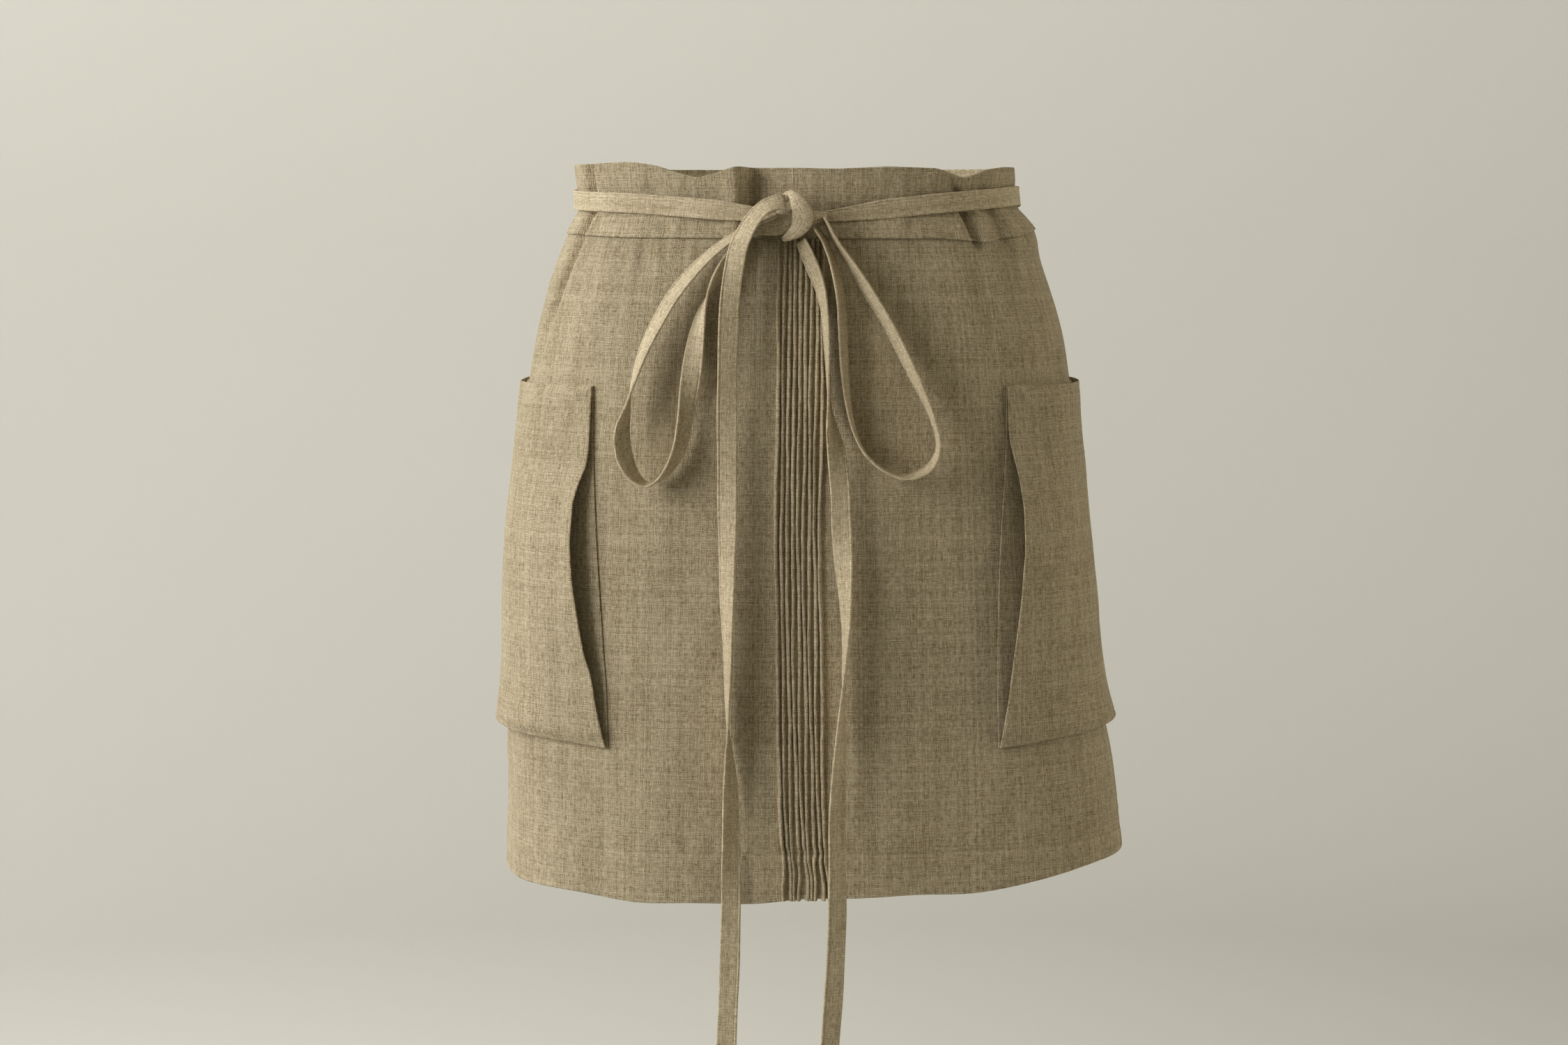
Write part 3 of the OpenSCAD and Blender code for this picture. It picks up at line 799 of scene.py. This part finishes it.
TOP = smoothed([-160, -138, -121, -99, -83, -70, -58, -49, -42, -34, -25, 2, 27, 58, 88, 97, 105,
    110, 118, 132, 160], [28, 28, 28.5, 29.5, 27, 22.5, 19.5, 21.5, 24, 26.6, 25.6, 25.6, 25, 26.4,
    25.5, 22.5, 19.5, 20.5, 24.5, 26.5, 26], 0.5, 2.5)
BOTTOM_TURNS = [-180, -120, -80, -50, 0, 44, 56, 70, 90, 120, 180]
BOTTOM_Z = [-16, -14, -15, -17.5, -18, -18, -20.5, -15.5, -11, -14, -16]
BAND_UP = 24.0
BAND_DOWN = -18.0
BAND_END = 164.0


def band_fit(turn, z):
    share = (z - BAND_DOWN) / (BAND_UP - BAND_DOWN)
    ahead = np.clip(np.cos(np.radians(turn)) * 4 + 0.5, 0, 1)
    top = 26 + ahead * (np.interp(outline(turn, 20 + 0 * turn)[0], *TOP) - 26)
    bottom = np.interp(turn, BOTTOM_TURNS, BOTTOM_Z)
    return bottom + share * (top - bottom)


def band_relief(turn, z):
    """The folded lower edge, the stitch line above it and the seam at the front."""
    bottom = np.interp(turn, BOTTOM_TURNS, BOTTOM_Z)
    up = z - bottom
    stitch = -0.35 * hump(up, 3.0, 1.1) * (0.7 + 0.3 * np.sin(turn * 2.9))
    fold = 0.35 * hump(up, 1.0, 1.4)
    seam = 0.55 * hump(turn, 0.0, 0.55) * np.clip(up / 4, 0, 1)
    return stitch + fold + seam


def add_band():
    pieces = {}
    for side, word in SIDES:
        band = side_panel(f"band_{word}", side, fixed(0.05), fixed(BAND_END), top=BAND_UP,
            bottom=BAND_DOWN, material=LINEN, step=(1.9, 1.6), relief=band_relief, fit=band_fit,
            table=BAND_ARC, **BAND_LAYER)
        keep(band, "apron", "linen", f"waistband_{word}")
        facing = side_panel(f"facing_{word}", side, fixed(0.1), fixed(BAND_END - 0.3), top=BAND_UP,
            bottom=BAND_DOWN, material=LINEN, step=(1.9, 1.9), fit=band_fit, table=BAND_ARC,
            **FACING_LAYER)
        keep(facing, "apron", "linen", f"waistband_facing_{word}")
        lining = side_panel(f"stiffening_{word}", side, fixed(0.4), fixed(BAND_END - 1.5), top=22.5,
            bottom=-4.0, material=INTERFACING, step=(2.5, 2.5), fit=band_fit, table=BAND_ARC,
            **STIFFENING_LAYER)
        keep(lining, "apron", "interfacing", f"interfacing_{word}")
        pieces[word] = [band, facing, lining]
    return pieces


BAND = add_band()


def add_waist_stitches():
    turns = np.arange(-BAND_END + 1.5, BAND_END - 1.5, STITCH_TURN)
    z = np.interp(turns, BOTTOM_TURNS, BOTTOM_Z) + 3.0
    row = cloth_line(turns, z, 1.4)
    stitches = add_stitches("waist_stitch_row", [row], THREAD)
    keep(stitches, "apron", "thread", "waist_stitching")


add_waist_stitches()

# ---- Skirt ----

SKIRT_TOP = -11.0
UNDER_BAND = -19.0
SIDE = 90.0
BACK_START = SIDE + 0.1
SEAM_TURN = 14 / 181 * 180 / math.pi
TUCKS = 9
TUCK_PITCH = 3.4
TUCK_W = 1.5
TUCKS_MIDDLE = 4.5
TUCKS_LEFT = TUCKS_MIDDLE - ((TUCKS - 1) * TUCK_PITCH + TUCK_W) / 2
# Where the hem's stitches stop beside the tucks, from the left of the tucks.
STITCHES_STOP = -0.6
STITCHES_START = 32.5


def hem_relief(turn, z):
    """The step of the turned-up hem and the dimpled line of its stitches."""
    fold = 0.35 / (1 + np.exp((z - HEM_TOP) / 0.8))
    pulls = 0.55 + 0.45 * np.sin(turn * 1.9 + 0.7 * np.sin(turn * 0.8))
    line = -0.85 * hump(z, HEM_TOP - 2, 1.5) * pulls
    edge = 0.5 * hump(z, HEM_Z + 1.5, 2.5)
    return fold + line + edge + 0.5 * hump(z, HEM_TOP + 4, 5) * np.sin(turn * 0.95 + 0.5)


# How much the hem is drawn up round the sides, below the level where that starts.
HEM_START = -300.0
HEM_TURNS = [-180, -120, -92, -75, -65, -55, -42, 45, 52, 60, 70, 80, 92, 120, 180]
HEM_LIFT = smoothed(HEM_TURNS, [4, 6, 7.5, 7.5, 6, 3, 0, 0, 2, 5, 8.5, 9, 8.5, 6, 4], 1.0, 5.0)


def hem_fit(turn, z):
    """The hem's edge wanders a little, and rises to the right and at the sides."""
    low = np.clip((z - HEM_START) / (HEM_Z - HEM_START), 0, 1)
    lean = 0.030 * outline(turn, z)[0] + np.interp(turn, *HEM_LIFT)
    return z + low * (0.9 * np.sin(turn / 11) + 0.6 * np.sin(turn / 4.7 + 1) + lean)


def add_skirt():
    front = cloth_panel("skirt_front", fixed(-SIDE), fixed(SIDE), top=SKIRT_TOP, bottom=HEM_Z,
        material=LINEN, step=(2.2, 2.6), relief=hem_relief, fit=hem_fit, **SKIRT_LAYER)
    keep(front, "apron", "linen", "front_panel")
    parts = {"front": front}
    for side, word in SIDES:
        back = side_panel(f"skirt_back_{word}", side, fixed(BACK_START), back_edge, top=SKIRT_TOP,
            bottom=HEM_Z, material=LINEN, step=(2.6, 3.0), relief=hem_relief, fit=hem_fit,
            **SKIRT_LAYER)
        keep(back, "apron", "linen", f"back_panel_{word}")
        parts[word] = back
    return parts


SKIRT = add_skirt()


def add_turnings():
    turned_up = {"top": HEM_TOP, "bottom": HEM_Z + 0.6, "relief": hem_relief, "fit": hem_fit}
    hem = cloth_panel("hem_turning_front", fixed(-SIDE), fixed(SIDE), material=LINEN, **turned_up,
        **TURNING_LAYER)
    inside = {"front": [keep(hem, "apron", "linen", "hem_front")]}
    for side, word in SIDES:
        hem = side_panel(f"hem_turning_{word}", side, fixed(BACK_START), back_edge,
            material=LINEN, **turned_up, **TURNING_LAYER)
        seam = side_panel(f"side_turning_{word}", side, fixed(SIDE - SEAM_TURN / 2),
            fixed(SIDE + SEAM_TURN / 2), top=UNDER_BAND, bottom=HEM_TOP + 1, material=LINEN,
            **SEAM_LAYER)
        edge = side_panel(f"back_turning_{word}", side, lambda z: back_edge(z) - SEAM_TURN,
            back_edge, top=UNDER_BAND, bottom=HEM_TOP + 1, material=LINEN, **TURNING_LAYER)
        keep(hem, "apron", "linen", f"hem_back_{word}")
        keep(seam, "apron", "linen", f"side_seam_{word}")
        keep(edge, "apron", "linen", f"back_edge_hem_{word}")
        inside[word] = [hem, seam, edge]
    return inside


TURNINGS = add_turnings()

TUCK_SECTION = np.array([[-0.75, -0.6], [-0.72, 0.3], [-0.6, 1.1], [-0.3, 1.75], [0.2, 2.15],
    [0.75, 2.28], [1.25, 2.1], [1.6, 1.6], [1.75, 0.9], [1.8, 0.1], [1.85, -0.6]])
# The folds have been drawn a little to one side as the skirt hangs.
TUCK_LEVELS = [-430, -370, -300, -200, -130, -60, -18]
TUCK_SHIFT = [4.2, 1.6, 0.5, -0.8, 0.2, 1.0, 1.5]


def add_tuck(index):
    """One stitched fold, wandering slightly as it runs down the front."""
    z = -np.concatenate([[18.2, 18.6], np.arange(20.0, 429.0, 1.9), [429.2, 429.8]])
    waver = 0.36 * np.sin(z / 23 + index * 1.7) + 0.16 * np.sin(z / 8.3 + index * 4.1)
    waver = waver + 0.10 * np.sin(z / 2.9 + index * 2.3)
    step = (0.55 + 0.3 * np.sin(index * 2.1)) * hump(z, HEM_TOP - 1, 3.2)
    step = step + (0.7 * np.sin(index * 1.9) + 0.5) * np.clip((HEM_TOP - z) / 15, 0, 1)
    step = step + 0.5 * np.sin(z / 5.5 + index * 0.4) * np.clip((HEM_TOP - z) / 6, 0, 1)
    x = TUCKS_LEFT + index * TUCK_PITCH + waver + step + np.interp(z, TUCK_LEVELS, TUCK_SHIFT)
    tall = 1.0 + 0.12 * np.sin(z / 17 + index) + (0.25 if index == 0 else 0.0)
    tall = tall * (1 - 0.35 * hump(z, HEM_TOP - 2, 1.6))
    turn = turn_at(x, z)
    nx, ny = outward(turn, z)
    base = place(turn, z, 0.0)
    out = np.stack([nx, ny, 0 * nx], axis=-1)
    beside = np.stack([-ny, nx, 0 * nx], axis=-1)
    lean = 0.35 * np.sin(z / 31 + index * 2.3)
    across = TUCK_SECTION[:, 0][None, :, None]
    height = TUCK_SECTION[:, 1][None, :, None]
    a = across + lean[:, None, None] * height / 2
    b = height * tall[:, None, None]
    verts = base[:, None, :] + a * beside[:, None, :] + b * out[:, None, :]
    faces = tube_faces(*verts.shape[:2], True)
    u = x[:, None] * 3 + run_along(TUCK_SECTION)[None, :]
    uvs = np.stack([u, z[:, None] + 0 * u], axis=-1)
    return add_mesh(f"tuck_{index}", verts.reshape(-1, 3), faces, uvs.reshape(-1, 2), LINEN)


def add_tucks():
    folds = join("tuck_folds", [add_tuck(i) for i in range(TUCKS)])
    return keep(folds, "apron", "linen", "pin_tucks")


TUCK_FOLDS = add_tucks()


def add_hem_stitches():
    z = HEM_TOP - 2
    end = float(back_edge(z)) - 1
    left = float(turn_at(TUCKS_LEFT + STITCHES_STOP, z))
    right = float(turn_at(TUCKS_LEFT + STITCHES_START, z))
    rows = []
    for start, stop in ((-end, -SIDE - 0.5), (-SIDE + 0.5, left), (right, SIDE - 0.5),
            (SIDE + 0.5, end)):
        turns = np.arange(start, stop, STITCH_TURN)
        levels = hem_fit(turns, z + 0 * turns)
        rows.append(cloth_line(turns, levels, 0.02))
    stitches = add_stitches("hem_stitch_row", rows, THREAD, radius=0.27)
    keep(stitches, "apron", "thread", "hem_stitching")


add_hem_stitches()

# ---- Pockets ----

# How open each mouth is, from its top corner down.
MOUTH_OPEN = {
    -1: smoothed([-0.1, 0, 0.1, 0.17, 0.217, 0.26, 0.315, 0.43, 0.54, 0.65, 0.743, 0.79, 0.876,
        0.98, 1, 1.1], [0, 0, 0.06, 0.12, 0.22, 0.52, 0.8, 1, 1, 0.88, 0.74, 0.54, 0.4, 0.12, 0.06,
        0], 0.01, 0.018),
    1: smoothed([-0.1, 0, 0.1, 0.154, 0.238, 0.338, 0.456, 0.573, 0.657, 0.757, 0.874, 0.975, 1,
        1.1], [0, 0, 0.04, 0.1, 0.5, 0.86, 1, 0.91, 0.8, 0.6, 0.38, 0.1, 0.04, 0], 0.01, 0.018),
}
MOUTH_BACK = {-1: 11.5, 1: 10.0}
GAPE = 13
# How far the front seam is from straight, in degrees, from its top down.
SEAM_DOWN = np.linspace(0, 1, 7)
SEAM_SHIFT = {-1: [-0.2, -0.4, -0.6, -0.8, -1.1, -1.4, -1.2],
    1: [-0.8, -1.1, -1.6, -1.9, -1.8, -1.3, -0.8]}
# How full each pocket is at the side, from its top down.
BELLY = 5
FULL_DOWN = [0, 0.1, 0.3, 0.7, 0.88, 1]
FULL = {-1: [0.7, 0.5, 0.2, 0.35, 0.75, 1.25], 1: [0.8, 0.45, 0.0, 0.0, 0.6, 1.2]}
LIFT = {-1: 8.5, 1: 12.0}
# The length of one degree of turn at the mouth, and how far in the seams hold.
DEGREE_MM = 3.1
SEAM_HOLD = 15


def pocket_down(z):
    return np.clip((POCKET_TOP - z) / (POCKET_TOP - POCKET_BOTTOM), 0, 1)


def mouth_line(side):
    """Turn of a pocket's front seam, which the hanging skirt has bent a little."""
    def line(z):
        down = pocket_down(z)
        return MOUTH_TOP + (MOUTH_BOTTOM - MOUTH_TOP) * down + np.interp(down, SEAM_DOWN,
            SEAM_SHIFT[side])

    return line


def mouth_edge(side):
    line = mouth_line(side)

    def edge(z):
        back = MOUTH_BACK[side] * np.interp(pocket_down(z), *MOUTH_OPEN[side])
        return line(z) + back / DEGREE_MM

    return edge


def pocket_lift(side):
    """A pocket's lower edge has been drawn up towards the side."""
    def lifted(turn, z):
        share = (np.abs(turn - POCKET_TURN) - MOUTH_BOTTOM) / (POCKET_REAR - MOUTH_BOTTOM)
        return z + LIFT[side] * np.tanh(np.clip(1.6 * share, 0, 2)) * pocket_down(z) ** 3

    return lifted


def stand_off(side):
    seam_line = mouth_line(side)

    def off(turn, z):
        line = seam_line(z)
        share = np.clip((np.abs(turn - POCKET_TURN) - line) / (POCKET_REAR - line), 0, 1)
        ends = np.clip(np.minimum(POCKET_TOP - z, z - POCKET_BOTTOM) / SEAM_HOLD, 0, 1)
        closed = np.minimum(1, ends * 3)
        full = np.maximum(closed, hump(np.abs(turn - POCKET_TURN), 86, 20))
        full = full * np.interp(pocket_down(z), FULL_DOWN, FULL[side])
        gape = GAPE * np.interp(pocket_down(z), *MOUTH_OPEN[side]) * (1 - share) ** 3
        belly = BELLY * np.sin(np.pi * share**0.8)
        sag = 1.2 * np.sin(share * 9 + 0.8 * side) * np.sin(np.pi * pocket_down(z)) ** 0.7
        return closed * gape + full * belly + closed * sag * share * (1 - share) * 3

    return off


def pocket_relief(side):
    stand = stand_off(side)
    lifted = pocket_lift(side)

    def off(turn, z):
        z = 2 * z - lifted(turn, z)
        lip = 0.5 * hump(np.abs(turn - POCKET_TURN) - mouth_edge(side)(z), 0.2, 1.3)
        seam = -0.3 * (hump(z, POCKET_TOP - 5, 1.3) + hump(z, POCKET_BOTTOM + 5, 1.3))
        return BAG_MIDDLE + stand(turn, z) + lip + seam

    return off


def pocket_rows(side, middle, lifted):
    """Lines of stitching near a pocket's upper and lower edges."""
    rows = []
    start = POCKET_TURN + side * (MOUTH_TOP + 6)
    stop = POCKET_TURN + side * (POCKET_REAR - 2)
    turns = np.arange(min(start, stop), max(start, stop), STITCH_TURN)
    for level in (POCKET_TOP - 5, POCKET_BOTTOM + 5):
        z = lifted(turns, level + 0 * turns)
        rows.append(cloth_line(turns, z, middle(turns, z) + BAG_HALF + 0.02))
    return rows


def tack_bars(side, middle, line):
    """The close rows of thread at a mouth's two corners."""
    bars = []
    for top in (POCKET_TOP - 4, POCKET_BOTTOM + 10):
        for across in np.arange(0, 1.4, 0.28):
            z = np.linspace(top, top - 6, 8)
            turn = POCKET_TURN + side * (line(z) + 2.6 + across)
            bars.append(cloth_line(turn, z, middle(turn, z) + BAG_HALF + 0.06))
    return bars


def add_pocket(side, word):
    middle = pocket_relief(side)
    lifted = pocket_lift(side)
    edge = mouth_edge(side)
    bag = side_panel(f"pocket_bag_{word}", side, edge, fixed(POCKET_REAR), turned=POCKET_TURN,
        top=POCKET_TOP, bottom=POCKET_BOTTOM, middle=middle, half=BAG_HALF, material=LINEN,
        step=(2.2, 2.4), fit=lifted)
    keep(bag, None, "linen", f"pocket_front_{word}", f"pocket_mouth_{word}")
    line = mouth_line(side)
    back = side_panel(f"pocket_back_{word}", side, line, fixed(POCKET_REAR),
        turned=POCKET_TURN, top=POCKET_TOP + 0.4, bottom=POCKET_BOTTOM - 0.4, material=LINEN,
        fit=lifted, **BACKING_LAYER)
    keep(back, "apron", "linen", f"pocket_backing_{word}")
    middle_z = (POCKET_TOP + POCKET_BOTTOM) / 2
    mouth = POCKET_TURN + side * (float(edge(np.array(middle_z))) + 0.5)
    inner = POCKET_TURN + side * (float(edge(np.array(middle_z))) + 9)
    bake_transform(bag)
    rows = pocket_rows(side, middle, lifted)
    stitches = add_stitches(f"pocket_stitch_rows_{word}", rows, THREAD, radius=0.25)
    keep(stitches, None, "thread", f"pocket_stitching_{word}")
    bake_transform(stitches)
    bars = tack_bars(side, middle, line)
    tacks = add_stitches(f"pocket_tack_{word}", bars, THREAD, length=2.6, gap=0.2, radius=0.3)
    keep(tacks, None, "thread", f"pocket_bartacks_{word}")
    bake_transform(tacks)
    return [bag, back, stitches, tacks]


POCKETS = {"left": add_pocket(-1, "left"), "right": add_pocket(1, "right")}

# ---- Ties round the waist ----

LEFT_TIE = [[-350, -5], [-335, -1], [-310, 5], [-285, 9], [-240, 4], [-205, -5], [-150, -5]]
RIGHT_TIE = [[150, 11], [205, 11], [260, 7], [310, 4], [335, 0], [357, -5]]
TIE_SEWN = 12
# How far the ties reach from the knot's middle, where it is, and the face they lie on.
KNOT_REACH = 12.6
KNOT_X = 6
BAND_FACE = 1.8


def bridged(turns, z):
    """The cloth's hang with its hollows bridged, as a drawn tie bridges them."""
    level = np.array([hang(turns, z + d) for d in (-5, 0, 5)]).max(axis=0)
    reach = int(9 / (turns[1] - turns[0]))
    padded = np.pad(level, reach, mode="edge")
    top = np.array([padded[i:i + 2 * reach + 1].max() for i in range(len(level))])
    weights = np.hanning(2 * reach + 1)
    return np.convolve(np.pad(top, reach, mode="edge"), weights / weights.sum(), mode="valid")


def add_waist_tie(name, heights, start, stop, knot_turn):
    turns = np.arange(start, stop, 0.7)
    turns = np.append(turns, stop)
    table = np.array(heights, float)
    fine = np.interp(turns, table[:, 0], table[:, 1])
    middle = np.convolve(np.pad(fine, 12, mode="edge"), np.ones(25) / 25, mode="valid")
    half = TIE_W / 2 * np.minimum(1, 0.5 + np.abs(turns - knot_turn) / 40)
    off = bridged(turns, middle) + BAND_FACE + TIE_T / 2
    x, y = outline(turns, middle)
    nx, ny = outward(turns, middle)
    out = np.stack([nx, ny, 0 * nx], axis=-1)
    points = np.stack([x + off * nx, y + off * ny, middle], axis=-1)
    along = unit(np.gradient(points, axis=0))
    wide = unit(np.cross(out, along))
    run = run_along(points)
    lean = 6 * np.sin(run / 41)[:, None] * math.pi / 180
    thick = np.cross(along, wide)
    turned = wide * np.cos(lean) + thick * np.sin(lean)
    depth = np.full(len(points), TIE_T / 2)
    return add_sweep(name, points, turned, np.cross(along, turned), half, depth, TAPE_SECTION,
        run, TAPE)


def add_ties():
    left_knot = float(turn_at(KNOT_X + KNOT_REACH, 0.0)) - 360
    right_knot = float(turn_at(KNOT_X - KNOT_REACH, 0.0)) + 360
    left = add_waist_tie("tie_wrap_left", LEFT_TIE, left_knot - 3, -BAND_END + TIE_SEWN, left_knot)
    right = add_waist_tie("tie_wrap_right", RIGHT_TIE, BAND_END - TIE_SEWN, right_knot + 3,
        right_knot)
    keep(left, "apron", "tie_tape", "waist_tie_left")
    keep(right, "apron", "tie_tape", "waist_tie_right")
    for side, word, middle in ((-1, "left", LEFT_TIE[-1][1]),
            (1, "right", RIGHT_TIE[0][1])):
        span = np.linspace(BAND_END - TIE_SEWN + 1, BAND_END - 1, 30) * side
        if side < 0:
            span = span[::-1]
        rows = [cloth_line(span, middle + up, 4.2) for up in (-4, 4)]
        tack = add_stitches(f"tie_stitches_{word}", rows, THREAD)
        keep(tack, "apron", "thread", f"tie_tack_{word}")


add_ties()

# ---- Stage and light ----

FLOOR_Z = -1.6
# Painted shade on the room's paper: its colour falls to FLOOR_SHADE at the floor and is full from
# SHADE_TOP up.
FLOOR_SHADE = 0.86
SHADE_TOP = 1.5
ROOM = 6.5
COVE = 1.5
WALL_TOP = 4.0
SPOKES = 96


def paper(name, colour):
    material = bpy.data.materials.new(name)
    material.use_nodes = True
    tree = material.node_tree
    shader = tree.nodes["Principled BSDF"]
    place_at = tree.nodes.new("ShaderNodeTexCoord")
    grain = noise(tree, place_at.outputs["Object"], 0.8, 3.0)
    mix = tree.nodes.new("ShaderNodeValToRGB")
    mix.color_ramp.elements[0].color = tuple(c * 0.97 for c in colour[:3]) + (1.0,)
    mix.color_ramp.elements[1].color = colour
    tree.links.new(grain, mix.inputs[0])
    # Painted shade: the paper's colour is darkened towards the floor, to FLOOR_SHADE at FLOOR_Z and
    # back to full at SHADE_TOP.
    split = tree.nodes.new("ShaderNodeSeparateXYZ")
    tree.links.new(place_at.outputs["Object"], split.inputs[0])
    low = tree.nodes.new("ShaderNodeMapRange")
    tree.links.new(split.outputs[2], low.inputs[0])
    for socket, value in zip(list(low.inputs)[1:5], (FLOOR_Z, SHADE_TOP, FLOOR_SHADE, 1.0)):
        socket.default_value = value
    paper_with_painted_shade = tree.nodes.new("ShaderNodeVectorMath")
    paper_with_painted_shade.operation = "SCALE"
    tree.links.new(mix.outputs[0], paper_with_painted_shade.inputs[0])
    tree.links.new(low.outputs[0], paper_with_painted_shade.inputs["Scale"])
    tree.links.new(paper_with_painted_shade.outputs[0], shader.inputs["Base Color"])
    settle(shader, {"Roughness": 0.95, "Specular IOR Level": 0.1})
    return material


def add_stage():
    """A round room: a floor that curves up into a plain wall."""
    profile = [(0.0, FLOOR_Z), (ROOM - COVE, FLOOR_Z)]
    for a in np.radians(np.arange(10, 91, 10)):
        profile.append((ROOM - COVE + COVE * math.sin(a), FLOOR_Z + COVE * (1 - math.cos(a))))
    profile += [(ROOM, WALL_TOP)]
    verts = []
    for r, z in profile:
        for k in range(SPOKES):
            a = 2 * math.pi * k / SPOKES
            verts.append((r * math.cos(a), r * math.sin(a), z))
    open_faces = tube_faces(len(profile), SPOKES, False)[:-2]
    mesh = bpy.data.meshes.new("room")
    mesh.from_pydata(verts, [], open_faces)
    mesh.polygons.foreach_set("use_smooth", np.ones(len(mesh.polygons), bool))
    mesh.materials.append(paper("room_paper", srgb(211, 210, 203)))
    room = bpy.data.objects.new("room", mesh)
    bpy.context.scene.collection.objects.link(room)


def add_area(name, at, target, size, power, colour):
    data = bpy.data.lights.new(name, "AREA")
    data.shape = "RECTANGLE"
    data.size = size[0]
    data.size_y = size[1]
    data.energy = power
    data.color = colour
    light = bpy.data.objects.new(name, data)
    light.location = at
    aim = np.array(target) - np.array(at)
    flat = math.hypot(aim[0], aim[1])
    heading = math.atan2(aim[1], aim[0]) - math.pi / 2
    light.rotation_euler = Euler((math.atan2(flat, -aim[2]), 0, heading))
    bpy.context.scene.collection.objects.link(light)


def add_light():
    world = bpy.data.worlds.new("world")
    world.use_nodes = True
    shade = world.node_tree.nodes["Background"]
    shade.inputs[0].default_value = (1.0, 0.92, 0.71, 1.0)
    shade.inputs[1].default_value = 0.28
    bpy.context.scene.world = world
    add_area("key", (-2.4, -1.15, 0.75), (0, 0, -0.2), (1.7, 1.8), 87, (1.0, 0.985, 0.97))
    add_area("fill", (2.6, -0.1, 0.4), (0, 0, -0.2), (1.4, 2.0), 20, (1.0, 0.93, 0.78))
    add_area("wall_wash", (-2.2, 1.2, 2.4), (-0.8, 6.0, -0.3), (2.4, 2.0), 235,
        (1.0, 0.995, 0.985))
    bpy.context.scene.view_settings.view_transform = "Standard"


add_stage()
add_light()
